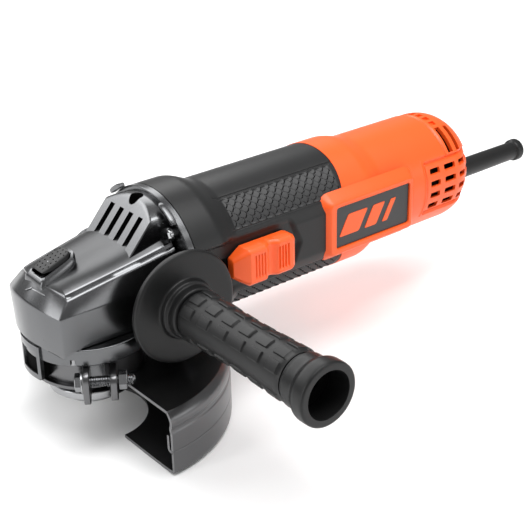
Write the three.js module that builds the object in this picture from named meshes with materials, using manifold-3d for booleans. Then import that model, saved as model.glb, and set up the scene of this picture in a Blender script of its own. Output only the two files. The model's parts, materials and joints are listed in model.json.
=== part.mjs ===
// Angle grinder for 115 mm discs, with guard, side handle and slide switch.
// Millimetres, +Z up. The origin is the centre of the spindle's lower end face.
// +X runs back along the motor towards the cord sleeve; the side handle is fitted on the -Y side.
import * as THREE from 'three';
import { mergeVertices } from 'three/addons/utils/BufferGeometryUtils.js';
import Module from 'manifold-3d';

const wasm = await Module();
wasm.setup();

// ---- driving dimensions -------------------------------------------------------------------
const GAP = 0.3;                 // clearance between neighbouring pieces
const WALL = 2.5;                // moulded wall
const DISC_GUARD_R = 64;         // guard skirt, outside
const GUARD_TOP = 18;            // guard roof, outside face
const GUARD_BOTTOM = -14.1;      // guard floor, outside face
const SHEET = 1.5;               // guard sheet metal
const GUARD_SEAM = -1.3;         // the clip-on lower cover meets the guard here
const GUARD_MOUTH_R = 23.8;      // curved edge of the lower cover around the spindle
const COLLAR_R = 22.3;           // guard collar, inside
const COLLAR_TOP = 29.8;
const NECK_R = 22;               // bearing neck that carries the guard collar
const COVER_R = 30;              // flange of the gear cover
const COVER_Z = [30, 38];
const THREAD_R = 7;              // M14 spindle thread
const MOTOR_Z = 55.5;            // height of the motor axis
const GEAR_TEETH = 41;
const PINION_TEETH = 11;
const MODULE = 1.1;
const FACE = 5.5;                // bevel tooth length
const PRESSURE = Math.PI / 9;
const BACKLASH = 0.92;
const LOCK_R = 12;               // circle of the spindle lock holes
const LOCK_TRAVEL = 3.5;
const CASE_W = 26;               // half width of the gear case
const CAVITY_R = 23.6;           // gear chamber
const CASE_END = 38.5;           // gear case meets the motor housing
const FLANGE_R = 36.4;
const BODY_R = 32;
const FLAT_Y = 30.5;             // side flats of the body
const HOUSING_END = 134;
const REAR_R = 29.1;
const REAR_Z = 56.3;             // axis of the narrower rear housing
const BODY_END = 239;
const HANDLE_X = 26.1;           // side handle axis
const HANDLE_Z = 50.9;
const BOSS_Y = 37.5;             // face of the handle bosses
const BOSS_R = 12;
const STUD_R = 4;                // M8 handle stud
const DISC_R = 26.4;             // hand-stop disc of the side handle
const HANDLE_END = 135.2;
const SLIDER = { x0: 58.4, x1: 93.8, z: 55.5, h: 8.75, travel: 7 };
const SLEEVE = { z: 45.1, r: 5.2, end: 293, flange: 6.3 };
const SCREW_CIRCLE = 22;         // y and z offset of the flange screws from the motor axis
const CLAMP_ANGLE = -123;        // where the guard clamp sits at rest
const CLAMP_Z = 23.3;
const CLAMP_R = 31;

// ---- materials ----------------------------------------------------------------------------
function finish(color, roughness, metalness) {
  return () => new THREE.MeshStandardMaterial({ color, roughness, metalness });
}
const casting = finish(0x55575a, 0.35, 0.8);
const sheetSteel = finish(0x3a3b3e, 0.4, 0.8);
const steel = finish(0xa4a7ab, 0.3, 1);
const blackPlastic = finish(0x222324, 0.55, 0);
const orangePlastic = finish(0xf25a1d, 0.45, 0);
const rubber = finish(0x1c1c1e, 0.8, 0);
const copper = finish(0xb06a3a, 0.4, 0.9);
const brass = finish(0xb9974b, 0.35, 0.9);
const carbon = finish(0x1a1a1a, 0.7, 0.1);
const laminate = finish(0x7b7d80, 0.5, 0.7);

// ---- solids -------------------------------------------------------------------------------
/** Closed geometry to a manifold solid, with its shared corners merged and faces outwards. */
function solid(geometry) {
  const g = geometry.clone();
  g.deleteAttribute('normal');
  g.deleteAttribute('uv');
  const merged = mergeVertices(g, 1e-4);
  const p = merged.getAttribute('position').array;
  const index = merged.getIndex().array;
  const tris = [];
  let volume = 0;
  for (let i = 0; i < index.length; i += 3) {
    const [a, b, c] = [index[i], index[i + 1], index[i + 2]];
    if (a === b || b === c || a === c) continue;
    tris.push(a, b, c);
    const [u, v, w] = [a, b, c].map((k) => new THREE.Vector3().fromArray(p, 3 * k));
    volume += u.dot(v.cross(w));
  }
  if (volume < 0) tris.reverse();
  return new wasm.Manifold(new wasm.Mesh({
    numProp: 3,
    vertProperties: Float32Array.from(p),
    triVerts: Uint32Array.from(tris),
  }));
}

function join(first, ...rest) {
  return rest.reduce((sum, part) => sum.add(part), first);
}

function cut(body, ...tools) {
  return tools.reduce((left, tool) => left.subtract(tool), body);
}

/** Solid back to a three.js geometry. */
function geometryOf(body) {
  const mesh = body.getMesh();
  const g = new THREE.BufferGeometry();
  g.setAttribute('position', new THREE.BufferAttribute(Float32Array.from(mesh.vertProperties), 3));
  g.setIndex(Array.from(mesh.triVerts));
  g.computeVertexNormals();
  return g;
}

function node(parent, name, material, body, place = [0, 0, 0]) {
  const mesh = new THREE.Mesh(geometryOf(body), material());
  mesh.name = name;
  mesh.position.set(...place);
  parent.add(mesh);
  return mesh;
}

function box(x, y, z) {
  const g = new THREE.BoxGeometry(x[1] - x[0], y[1] - y[0], z[1] - z[0]);
  g.translate((x[0] + x[1]) / 2, (y[0] + y[1]) / 2, (z[0] + z[1]) / 2);
  return solid(g);
}

/** Profile of [radius, height] points turned about +Z; a ring profile closes on itself. */
function turnZ(profile, segments = 24) {
  const closed = profile[0][0] > 0 ? [...profile, profile[0]] : profile;
  const points = closed.map(([r, h]) => new THREE.Vector2(r, h));
  return new THREE.LatheGeometry(points, segments).rotateX(Math.PI / 2);
}
const aboutZ = (profile, segments) => solid(turnZ(profile, segments));
const aboutX = (profile, segments) => solid(turnZ(profile, segments).rotateY(Math.PI / 2));
const aboutMinusY = (profile, segments) => solid(turnZ(profile, segments).rotateX(Math.PI / 2));

const ringProfile = (r0, r1, h0, h1) => [[r0, h0], [r1, h0], [r1, h1], [r0, h1]];
const discProfile = (r, h0, h1) => [[0, h0], [r, h0], [r, h1], [0, h1]];

/** Outline of [x, y] points extruded along +Z from z0 to z1. */
function prism(outline, z0, z1) {
  const shape = new THREE.Shape(outline.map(([x, y]) => new THREE.Vector2(x, y)));
  const g = new THREE.ExtrudeGeometry(shape, { depth: z1 - z0, bevelEnabled: false });
  return solid(g.translate(0, 0, z0));
}

/** Part of a ring between two angles in degrees, extruded along +Z. */
function sectorOutline(r0, r1, a0, a1, steps) {
  const at = (r, a) => [r * Math.cos(a), r * Math.sin(a)];
  const angles = Array.from({ length: steps + 1 }, (_, i) => THREE.MathUtils.degToRad(a0 + (a1 - a0) * i / steps));
  return [...angles.map((a) => at(r1, a)), ...angles.reverse().map((a) => at(r0, a))];
}
const sector = (r0, r1, a0, a1, z0, z1, steps = 16) => prism(sectorOutline(r0, r1, a0, a1, steps), z0, z1);

/** Skin over a row of closed rings with equal point counts, its two ends capped. */
function loft(rings) {
  const count = rings[0].length;
  const points = rings.flat();
  const centre = (ring) => ring.reduce((s, p) => s.map((v, i) => v + p[i] / count), [0, 0, 0]);
  points.push(centre(rings[0]), centre(rings.at(-1)));
  const index = [];
  const last = (rings.length - 1) * count;
  for (let i = 0; i < count; i += 1) {
    const j = (i + 1) % count;
    for (let k = 0; k < last; k += count) index.push(k + i, k + j, k + count + j, k + i, k + count + j, k + count + i);
    index.push(points.length - 2, j, i, points.length - 1, last + i, last + j);
  }
  const g = new THREE.BufferGeometry();
  g.setAttribute('position', new THREE.Float32BufferAttribute(points.flat(), 3));
  g.setIndex(index);
  return solid(g);
}

/** Circle of points across the X axis, with its own height, for lofted tubes. */
function circleRing(x, r, z, count = 32) {
  return Array.from({ length: count }, (_, i) => {
    const a = 2 * Math.PI * i / count;
    return [x, r * Math.sin(a), z + r * Math.cos(a)];
  });
}
const tube = (stations) => loft(stations.map(([x, r, z]) => circleRing(x, r, z)));

/** Round wire coiled about +Z, closed at both ends. */
function coil(radius, wire, z0, z1, turns) {
  const steps = turns * 8;
  const at = (i) => {
    const a = 2 * Math.PI * i / 8;
    return new THREE.Vector3(radius * Math.cos(a), radius * Math.sin(a), z0 + wire + (z1 - z0 - 2 * wire) * i / steps);
  };
  const path = new THREE.CatmullRomCurve3(Array.from({ length: steps + 1 }, (_, i) => at(i)));
  const section = new THREE.Shape();
  section.absarc(0, 0, wire, 0, 2 * Math.PI);
  const options = { steps, extrudePath: path, bevelEnabled: false, curveSegments: 2 };
  return solid(new THREE.ExtrudeGeometry(section, options));
}

/** Hexagonal or round head with a shank below it, along +Z, with the head on top. */
function screwSolid(headR, headH, shankR, length) {
  return aboutZ([[0, -length], [shankR, -length], [shankR, 0], [headR, 0], [headR, headH], [0, headH]], 8);
}

// ---- bevel gears --------------------------------------------------------------------------
/**
 * Straight bevel gear about +Z with its pitch cones' apex at the origin and its back at +Z.
 * Each tooth is an involute drawn on the developed back cone, scaled towards the apex.
 */
function bevelGear(teeth, mate, { addendum, flank, hub, front, phase }) {
  const cone = Math.atan(teeth / mate);
  const pitchR = MODULE * teeth / 2;
  const coneLength = pitchR / Math.sin(cone);
  const backR = pitchR / Math.cos(cone);
  const baseR = backR * Math.cos(PRESSURE);
  const involute = (a) => Math.tan(a) - a;
  const halfTooth = Math.PI * MODULE / 4 * BACKLASH / backR;
  const halfAngle = (rho) => {
    const a = rho > baseR ? Math.acos(baseR / rho) : 0;
    return halfTooth + involute(PRESSURE) - involute(a);
  };
  const rootR = backR - 1.3 * MODULE;
  const tipR = backR + addendum * MODULE;
  const radii = Array.from({ length: flank }, (_, i) => rootR + (tipR - rootR) * i / (flank - 1));
  const tooth = [...radii.map((rho) => [rho, -halfAngle(rho)]), ...radii.map((rho) => [rho, halfAngle(rho)]).reverse()];
  const profile = [];
  for (let i = 0; i < teeth; i += 1) {
    for (const [rho, a] of tooth) {
      profile.push([rho * Math.cos(cone), a / Math.cos(cone) + 2 * Math.PI * (i + phase) / teeth,
        coneLength / Math.cos(cone) - rho * Math.sin(cone)]);
    }
  }
  const ring = (k) => profile.map(([r, a, h]) => [k * r * Math.cos(a), k * r * Math.sin(a), k * h]);
  const flat = (r, h) => profile.map(([, a]) => [r * Math.cos(a), r * Math.sin(a), h]);
  return loft([flat(front[0], front[1]), ring(1 - FACE / coneLength), ring(1), flat(hub[0], hub[1])]);
}

// ---- gear head ----------------------------------------------------------------------------
const lineA = (x) => 65.5 + 0.16 * x;
const lineB = (x) => 55.7 + 0.03 * (x + 25);

/** One cross-section of the cast case: bottom, side edge B, bevel edge A and the crown. */
function caseSection(x, half, bottom, bevel, crown) {
  const top = bevel * (lineA(x) - lineB(x)) + lineB(x);
  const inner = half * (bevel > 0.6 ? 0.85 : 0.95);
  const side = [[0.93 * half, bottom], [half, lineB(x)], [inner, top], [0.6 * inner, top + 0.78 * crown],
    [0.25 * inner, top + crown]];
  return [...side.map(([y, z]) => [x, y, z]), ...side.map(([y, z]) => [x, -y, z]).reverse()];
}

function caseOutside() {
  const shell = loft([
    caseSection(-31, 6, 40, 0.06, 0.3),
    caseSection(-29.5, 12.5, 39, 0.1, 1),
    caseSection(-25.2, 22.4, 38, 0.3, 2.5),
    caseSection(-19.5, 24, 38, 1, 3.5),
    caseSection(-9, 25, 38, 1, 5),
    caseSection(6, CASE_W, 38, 1, 7),
    caseSection(18, CASE_W, 38, 1, 7),
    caseSection(33.5, CASE_W, 28, 1, 7),
  ]);
  const brow = prism([[12, 66], [14.5, 74], [26, 87.5], [26, 92], [34, 92], [34, 66]], -18.5, 18.5);
  const dome = aboutX(discProfile(34.4, 10, 34), 32).translate([0, 0, MOTOR_Z]);
  const flange = aboutX(discProfile(FLANGE_R, 33, CASE_END), 32).translate([0, 0, MOTOR_Z]);
  const boss = aboutMinusY(discProfile(BOSS_R, -BOSS_Y, BOSS_Y), 24).translate([HANDLE_X, 0, HANDLE_Z]);
  const bezel = prism([[-24.5, -6.2], [-22.5, -8], [-8, -8], [-5, -4.5], [-5, 4.5], [-8, 8], [-22.5, 8], [-24.5, 6.2]], 58, 71.4);
  return join(shell, brow.rotate([90, 0, 0]).intersect(dome), flange, boss, bezel.intersect(bezelSlope()));
}

/** Everything under the sloping plane that the lock button's bezel is cut to. */
function bezelSlope() {
  return prism([[-40, 50], [10, 50], [10, 80], [-40, 61.2]], -20, 20).rotate([90, 0, 0]);
}

function buttonOutline(grow) {
  return [[-22.3 - grow, -5 - grow], [-9.5 + grow, -5 - grow], [-7.2 + grow, -2.8], [-7.2 + grow, 2.8],
    [-9.5 + grow, 5 + grow], [-22.3 - grow, 5 + grow]];
}

function flangeScrewPlaces() {
  return [[1, 1], [-1, 1], [-1, -1], [1, -1]].map(([y, z]) => [y * SCREW_CIRCLE, MOTOR_Z + z * SCREW_CIRCLE]);
}

function gearCase() {
  const chamber = aboutZ(discProfile(CAVITY_R, 30, 58.5), 32);
  const topBearing = aboutZ(discProfile(8.3, 58, 65.5));
  const tunnel = aboutX(discProfile(13.3, 0, CASE_END + 2), 24).translate([0, 0, MOTOR_Z]);
  const airway = box([20, CASE_END + 2], [-16, 16], [70.5, 83]);
  const louvres = [-11.25, -3.75, 3.75, 11.25].map((y) => box([10, 24], [y - 1.65, y + 1.65], [75.3, 82.5]));
  const stud = aboutMinusY(discProfile(STUD_R + GAP, 21, 40), 16).translate([HANDLE_X, 0, HANDLE_Z]);
  const spareStud = aboutMinusY(discProfile(STUD_R + GAP, -40, -21), 16).translate([HANDLE_X, 0, HANDLE_Z]);
  const topStud = aboutZ(discProfile(3.4, 84, 95), 12).translate([30.5, 0, 0]);
  const button = prism(buttonOutline(GAP), 66, 80);
  const pin = aboutZ(discProfile(2.7, 57, 70), 12).translate([-LOCK_R, 0, 0]);
  const screws = flangeScrewPlaces().map(([y, z]) => join(
    aboutX(discProfile(2.3, 30, 40), 8),
    aboutX(discProfile(3.8, 22, 33.02), 10),
  ).translate([0, y, z]));
  const coverScrews = coverScrewPlaces().map(([x, y]) => aboutZ(discProfile(2.1, 30, 49), 8).translate([x, y, 0]));
  const coverSeat = aboutZ(discProfile(COVER_R + GAP, 10, COVER_Z[1]), 32);
  return cut(caseOutside(), coverSeat, chamber, topBearing, tunnel, airway, ...louvres, stud, spareStud, topStud,
    button, pin, ...screws, ...coverScrews);
}

function coverScrewPlaces() {
  return [45, 135, 225, 315].map((d) => THREE.MathUtils.degToRad(d)).map((a) => [26.6 * Math.cos(a), 26.6 * Math.sin(a)]);
}

function gearCover() {
  const profile = [[14, 14], [NECK_R, 14], [NECK_R, COVER_Z[0]], [COVER_R, COVER_Z[0]], [COVER_R, COVER_Z[1] - GAP],
    [16.3, COVER_Z[1] - GAP], [16.3, 19.7], [14, 19.7]];
  const holes = coverScrewPlaces().map(([x, y]) => aboutZ(discProfile(2.1, 28, 40), 8).translate([x, y, 0]));
  const heads = coverScrewPlaces().map(([x, y]) => aboutZ(discProfile(3.2, 28, 33.6), 12).translate([x, y, 0]));
  return cut(aboutZ(profile, 32), ...holes, ...heads);
}

function buildGearHead(group) {
  node(group, 'gear_case', casting, gearCase());
  node(group, 'gear_cover', casting, gearCover());
  coverScrewPlaces().forEach(([x, y], i) => {
    const screw = screwSolid(2.8, 2.6, 1.6, 14).rotate([180, 0, 0]);
    node(group, `gear_cover_screw_${i + 1}`, steel, screw, [x, y, 33.2]);
  });
  flangeScrewPlaces().forEach(([y, z], i) => {
    const screw = screwSolid(3.4, 2.8, 2, 17).rotate([0, -90, 0]);
    node(group, `gear_case_screw_${i + 1}`, steel, screw, [33 - GAP, y, z]);
  });
  node(group, 'lower_bearing', steel, aboutZ(ringProfile(8.5, 16, 20, 30)));
  node(group, 'upper_bearing', steel, aboutZ(ringProfile(5, 8, 59.5, 65.2)));
}

function buildSpindle(group) {
  const shaft = [[0, 0], [THREAD_R, 0], [THREAD_R, 19.7], [8.2, 20], [8.2, 30.3], [THREAD_R, 30.6], [THREAD_R, 50],
    [4.7, 50.5], [4.7, 65], [0, 65]];
  node(group, 'spindle', steel, aboutZ(shaft, 20));
  const flange = [[THREAD_R + GAP, 7.9], [16.5, 7.9], [16.5, 7], [20.3, 7], [20.3, 13.7], [THREAD_R + GAP, 13.7]];
  node(group, 'inner_flange', steel, aboutZ(flange, 28));
  const teeth = bevelGear(GEAR_TEETH, PINION_TEETH, {
    addendum: 0.7, flank: 2, hub: [21, 13], front: [15.8, 7.5], phase: 0.5,
  }).rotate([180, 0, 0]);
  const bore = aboutZ(discProfile(THREAD_R + GAP, -20, 0), 20);
  const locks = [0, 90, 180, 270].map((d) => aboutZ(discProfile(2.9, -20, 0), 10).translate([LOCK_R, 0, 0]).rotate([0, 0, d]));
  node(group, 'bevel_gear', steel, cut(teeth, bore, ...locks), [0, 0, MOTOR_Z]);
}

function buildClampNut(group) {
  const body = aboutZ([[THREAD_R + GAP, 2.8], [13, 2.8], [15, 4], [15, 6.7], [THREAD_R + GAP, 6.7]], 24);
  const pins = [0, 90, 180, 270].map((d) => aboutZ(discProfile(1.6, 1, 4.6), 8).translate([11, 0, 0]).rotate([0, 0, d]));
  node(group, 'clamp_nut', steel, cut(body, ...pins));
}

function buildLock(group) {
  const cap = prism(buttonOutline(0), 69.7, 80).intersect(prism([[-40, 60], [10, 60], [10, 82.3], [-40, 63.5]], -20, 20).rotate([90, 0, 0]));
  node(group, 'lock_button', blackPlastic, cap);
  const pin = [[0, 48.6], [2, 48.6], [2.4, 49.2], [2.4, 69.4], [0, 69.4]];
  node(group, 'lock_pin', steel, aboutZ(pin, 16), [-LOCK_R, 0, 0]);
  node(group, 'lock_spring', steel, coil(3.3, 0.4, 66.2, 69.5, 2), [-LOCK_R, 0, 0]);
}

// ---- motor --------------------------------------------------------------------------------
function motorHousing() {
  const outside = tube([[CASE_END + GAP, FLANGE_R, 0], [54, FLANGE_R, 0], [64, BODY_R, 0], [HOUSING_END, BODY_R, 0]]);
  const flats = box([60, 140], [-FLAT_Y, FLAT_Y], [-40, 40]);
  const front = box([30, 60.01], [-40, 40], [-40, 40]);
  const inside = tube([[30, 29.2, 0], [62, 29.2, 0], [62.1, 28.6, 0], [140, 28.6, 0]]);
  const innerFlats = box([0, 150], [-FLAT_Y + WALL, FLAT_Y - WALL], [-40, 40]);
  const recess = box([SLIDER.x0 - SLIDER.travel - 2.2, SLIDER.x1 + 2], [-45, -FLAT_Y], [-9.6, 9.6]);
  const slot = box([62, 83], [-40, -20], [-4, 4]);
  const screws = flangeScrewPlaces().map(([y, z]) => aboutX(discProfile(2.3, 30, 51), 8).translate([0, y, z - MOTOR_Z]));
  const shell = outside.intersect(join(flats, front));
  return cut(shell, inside.intersect(innerFlats), recess, slot, ...screws);
}

function fieldCore() {
  const body = tube([[70, 28, 0], [115, 28, 0]]).intersect(box([60, 130], [-24, 24], [-30, 30]));
  const bore = aboutX(discProfile(18.5, 60, 130));
  return cut(body, bore, ...[0, 180].map((turn) => coilSlots(18.6, 24.4, 60, 130, 0.8).rotate([turn, 0, 0])));
}

/** The two slots, 25 to 40 degrees from the side, that one field coil's long runs lie in. */
function coilSlots(r0, r1, x0, x1, grow) {
  const run = (a0, a1) => sector(r0, r1, a0, a1, x0, x1, 4).rotate([0, 90, 0]);
  return join(run(115 - grow, 130 + grow), run(230 - grow, 245 + grow));
}

/** Saddle-shaped field coil: a ring segment with the pole's window cut out of it. */
function fieldCoil() {
  const block = sector(19, 24, 115, 245, 64, 120, 10).rotate([0, 90, 0]);
  return cut(block, sector(10, 30, 130, 230, 69.5, 115.5, 10).rotate([0, 90, 0]));
}

function fan() {
  const plate = aboutX([[4.3, 55.5], [28, 55.5], [28, 57.5], [7, 58], [4.3, 58]]);
  const hub = aboutX(ringProfile(4.3, 7.5, 47, 57), 20);
  const blades = Array.from({ length: 10 }, (_, i) => box([46, 56], [7, 27.5], [-0.8, 0.8]).rotate([36 * i, 0, 0]));
  return join(plate, cut(join(hub, ...blades), aboutX(discProfile(4.3, 40, 60), 20)));
}

function buildMotorHousing(group) {
  node(group, 'motor_housing', blackPlastic, motorHousing());
  node(group, 'air_baffle', blackPlastic, aboutX([[16, 60], [27.4, 60], [27.4, 61.6], [16, 61.6]]));
  node(group, 'field_core', laminate, fieldCore());
  node(group, 'field_coil_top', copper, fieldCoil());
  node(group, 'field_coil_bottom', copper, fieldCoil().rotate([180, 0, 0]));
  node(group, 'front_bearing', steel, aboutX(ringProfile(4.3, 13, 28, 37)));
  node(group, 'rear_bearing', steel, aboutX(ringProfile(3.8, 9.5, 150, 157), 20));
  node(group, 'brush_bridge', blackPlastic, brushBridge());
  for (const [side, turn] of [['top', 0], ['bottom', 180]]) {
    const holder = cut(box([124, 134], [-5, 5], [13, 26.5]), box([126.4, 131.6], [-3.2, 3.2], [10, 24.5]));
    node(group, `brush_holder_${side}`, brass, holder.rotate([turn, 0, 0]));
    node(group, `brush_${side}`, carbon, box([126.7, 131.3], [-2.9, 2.9], [11.3, 19]).rotate([turn, 0, 0]));
    node(group, `brush_spring_${side}`, steel, coil(1.8, 0.35, 19.3, 24.2, 4).translate([129, 0, 0]).rotate([turn, 0, 0]));
  }
}

/** Plastic bulkhead behind the commutator: it holds the brush holders and the rear bearing. */
function brushBridge() {
  const plate = aboutX(discProfile(28.4, 141, 144)).intersect(box([120, 160], [-27.5, 27.5], [-30, 30]));
  const cup = aboutX([[0, 142], [12.5, 142], [12.5, 157], [0, 157]], 20);
  const arms = [1, -1].map((s) => box([120.6, 142], [-8, 8], s > 0 ? [13, 27] : [-27, -13]));
  const pockets = [1, -1].map((s) => box([123.7, 134.3], [-5.3, 5.3], s > 0 ? [10, 26.8] : [-26.8, -10]));
  const bearing = aboutX(discProfile(9.8, 149.7, 160), 20);
  const shaft = aboutX(discProfile(7, 130, 152), 16);
  const linkWay = box([130, 150], [-30, -21], [-6, 6]);
  const airWays = [45, 135, 225, 315].map((a) => sector(14, 25, a - 20, a + 20, 135, 150, 5).rotate([0, 90, 0]));
  return cut(join(plate, cup, ...arms), ...pockets, bearing, shaft, linkWay, ...airWays);
}

function buildArmature(group) {
  const shaft = [[0, 17.5], [2.4, 17.5], [2.4, 26.5], [4, 26.5], [4, 138], [3.5, 138.3], [3.5, 157], [0, 157]];
  node(group, 'armature_shaft', steel, aboutX(shaft, 20));
  node(group, 'rotor_core', laminate, aboutX(ringProfile(4.3, 17, 75, 115)));
  node(group, 'rotor_winding_front', copper, aboutX([[4.3, 66], [10, 66], [15.5, 70], [15.5, 74.7], [4.3, 74.7]], 24));
  node(group, 'rotor_winding_rear', copper, aboutX([[4.3, 115.3], [15.5, 115.3], [14, 119], [9, 121.7], [4.3, 121.7]], 24));
  node(group, 'commutator', copper, aboutX(ringProfile(4.3, 11, 122, 136), 24));
  node(group, 'fan', blackPlastic, fan());
  const teeth = bevelGear(PINION_TEETH, GEAR_TEETH, {
    addendum: 1.1, flank: 4, hub: [5.5, 26.2], front: [3.4, 17.2], phase: 0,
  }).rotate([0, 90, 0]);
  node(group, 'pinion', steel, cut(teeth, aboutX(discProfile(2.7, 10, 30), 20)));
}

// ---- rear housing, switch and sleeve ------------------------------------------------------
function rearHousing() {
  const rise = REAR_Z - MOTOR_Z;
  const outside = tube([[HOUSING_END + GAP, BODY_R, 0], [148, BODY_R, 0], [158, REAR_R, rise], [228, REAR_R, rise],
    [234, 27, rise], [237.5, 23, rise], [BODY_END, 18, rise]]);
  const flats = join(box([130, 156], [-FLAT_Y, FLAT_Y], [-40, 40]), box([155.9, 245], [-40, 40], [-40, 40]));
  const pads = join(box([119, 175], [26, 33], [-14.5, 14.5]), box([119, 175], [-33, -26], [-14.5, 14.5]));
  const padTrim = box([HOUSING_END + GAP, 180], [-35, 35], [-20, 20]);
  const tongues = join(box([119, 140], [FLAT_Y + GAP, 33], [-14.5, 14.5]), box([119, 140], [-33, -FLAT_Y - GAP], [-14.5, 14.5]));
  const inside = tube([[130, 29.3, 0], [148, 29.3, 0], [158, REAR_R - WALL, rise], [228, REAR_R - WALL, rise], [236, 20, rise]]);
  const innerFlats = box([100, 250], [-FLAT_Y + WALL, FLAT_Y - WALL], [-40, 40]);
  const badges = join(box([122.4, 171.9], [31.3, 40], [-10.9, 10.9]), box([122.4, 171.9], [-40, -31.3], [-10.9, 10.9]));
  const rows = [-9.6, -3.2, 3.2, 9.6];
  const grille = rows.flatMap((z) => [[192, 200], [203, 211], [215, 222]].map((x) => box(x, [-40, 40], [z - 1.5, z + 1.5])));
  const sleeve = aboutX(discProfile(SLEEVE.r + GAP, 230, 245), 20).translate([0, 0, SLEEVE.z - MOTOR_Z]);
  const shell = join(outside.intersect(flats), pads.intersect(padTrim), tongues);
  return cut(shell, inside.intersect(innerFlats), badges, ...grille, sleeve);
}

function buildRear(group) {
  node(group, 'rear_housing', orangePlastic, rearHousing());
  node(group, 'badge_left', blackPlastic, box([122.8, 171.5], [-32.6, -31.6], [-10.5, 10.5]));
  node(group, 'badge_right', blackPlastic, box([122.8, 171.5], [31.6, 32.6], [-10.5, 10.5]));
  const body = cut(box([172, 206], [-11, 11], [-10, 7]), box([175.5, 190], [-12, -6.5], [-3, 5]));
  node(group, 'switch_body', blackPlastic, body);
  const drop = SLEEVE.z - MOTOR_Z;
  const bore = 3.3;
  const sleeve = [[bore, 218], [SLEEVE.r, 218], [SLEEVE.r, 225], [8.5, 225], [8.5, 229], [SLEEVE.r, 229], [SLEEVE.r, 291],
    [SLEEVE.flange, 291.3], [SLEEVE.flange, SLEEVE.end], [bore, SLEEVE.end]];
  node(group, 'cord_sleeve', rubber, aboutX(sleeve, 20), [0, 0, drop]);
  const post = box([210, 216], [-10, 10], [drop - 8, drop - 4.3]);
  const saddle = box([210, 216], [-10, 10], [drop - 4, drop + 4]);
  const lead = aboutX(discProfile(3.5, 205, 220), 16).translate([0, 0, drop]);
  const screwHole = (y) => aboutZ(discProfile(1.5, drop - 12, drop + 8), 10).translate([213, y, 0]);
  node(group, 'cord_clamp_base', blackPlastic, cut(post, screwHole(-7.3), screwHole(7.3)));
  node(group, 'cord_clamp', blackPlastic, cut(saddle, lead, screwHole(-7.3), screwHole(7.3)));
  [-7.3, 7.3].forEach((y, i) => {
    node(group, `cord_clamp_screw_${i + 1}`, steel, screwSolid(2.4, 2, 1.2, 11), [213, y, drop + 4 + GAP]);
  });
}

function buildSwitchSlider(group) {
  const z = [-SLIDER.h, SLIDER.h];
  const base = prism([[SLIDER.x0, -30.8], [SLIDER.x0 + 3, -35], [SLIDER.x0 + 9, -38], [SLIDER.x0 + 16, -36.5],
    [SLIDER.x0 + 22, -34.4], [SLIDER.x1 - 6, -36.6], [SLIDER.x1 - 1.5, -35], [SLIDER.x1, -30.8]].map(([x, y]) => [x, y]),
  z[0], z[1]);
  const stem = box([70, 82], [-32, -27.75], [-3.4, 3.4]);
  node(group, 'switch_slider', orangePlastic, join(base, stem));
  const bar = box([70, 146], [-27.4, -24.6], [-3.5, 3.5]);
  const tail = box([142, 188], [-25, -22.2], [-3.5, 3.5]);
  const finger = box([184, 188], [-24, -8], [-1.5, 1.5]);
  node(group, 'switch_link', blackPlastic, join(bar, tail, finger));
}

// ---- guard --------------------------------------------------------------------------------
/** A piece built along the clamp bolt: +X is the bolt, +Y points away from the spindle. */
function clampFrame(body) {
  return body.rotate([0, 0, CLAMP_ANGLE - 90]);
}

function buildGuard(group) {
  const roof = sector(COLLAR_R, DISC_GUARD_R, -90, 90, GUARD_TOP - SHEET, GUARD_TOP, 20);
  const skirt = sector(DISC_GUARD_R - SHEET, DISC_GUARD_R, -90, 90, GUARD_SEAM + GAP, GUARD_TOP - 0.5, 20);
  const band = aboutZ(ringProfile(COLLAR_R, 24.2, GUARD_TOP - SHEET, COLLAR_TOP), 32);
  const earLeft = clampFrame(box([-0.6, 2.4], [23.3, 36], [13.5, 29.6]));
  const earRight = clampFrame(box([-12.6, -9.4], [20.6, 36], [14.5, 27.5]));
  const opening = clampFrame(box([-9.4, -0.6], [15, 36.5], [10, 35]));
  const hole = clampFrame(box([-20, 8], [CLAMP_R - 2.6, CLAMP_R + 2.6], [CLAMP_Z - 2.6, CLAMP_Z + 2.6]));
  node(group, 'guard', sheetSteel, cut(join(roof, skirt, band, earLeft, earRight), opening, hole));
  const wall = sector(DISC_GUARD_R - SHEET, DISC_GUARD_R, -90, 90, GUARD_BOTTOM, GUARD_SEAM, 20);
  const floor = sector(GUARD_MOUTH_R, DISC_GUARD_R - 0.2, -90, 90, GUARD_BOTTOM, GUARD_BOTTOM + SHEET, 20);
  const step = sector(60.7, 63, -90, 90, -6, -3, 20);
  const lip = sector(60.7, 62.2, -90, 90, -5, 6, 20);
  node(group, 'guard_cover', sheetSteel, join(wall, floor, step, lip));
  const shank = aboutX([[0, -19.5], [2.3, -19.5], [2.3, 2.7], [4.4, 2.7], [4.4, 6], [0, 6]], 12);
  node(group, 'guard_clamp_bolt', steel, clampFrame(shank.translate([0, CLAMP_R, CLAMP_Z])));
  const nut = aboutX(ringProfile(2.9, 4.6, -17, -12.9), 6);
  node(group, 'guard_clamp_nut', steel, clampFrame(nut.translate([0, CLAMP_R, CLAMP_Z])));
}

// ---- side handle --------------------------------------------------------------------------
function buildSideHandle(group) {
  const stud = aboutMinusY([[0, 22], [STUD_R, 22], [STUD_R, 62], [5.5, 62], [5.5, 66], [0, 66]], 18);
  node(group, 'handle_stud', steel, stud);
  const core = [[STUD_R + 0.4, BOSS_Y + GAP], [DISC_R, BOSS_Y + GAP], [DISC_R, 41.3], [14, 42.2], [13, 46.5], [13, 49], [9.2, 49.5],
    [9.2, 118], [11.8, 118.3], [11.8, 124], [14.1, HANDLE_END], [10.5, HANDLE_END], [10.5, 122], [6, 118], [6, 61.6],
    [STUD_R + 0.4, 61.6]];
  node(group, 'handle_body', blackPlastic, aboutMinusY(core, 24));
  node(group, 'handle_grip', rubber, aboutMinusY(ringProfile(9.5, 11.6, 49.8, 117.7), 24));
}

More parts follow.
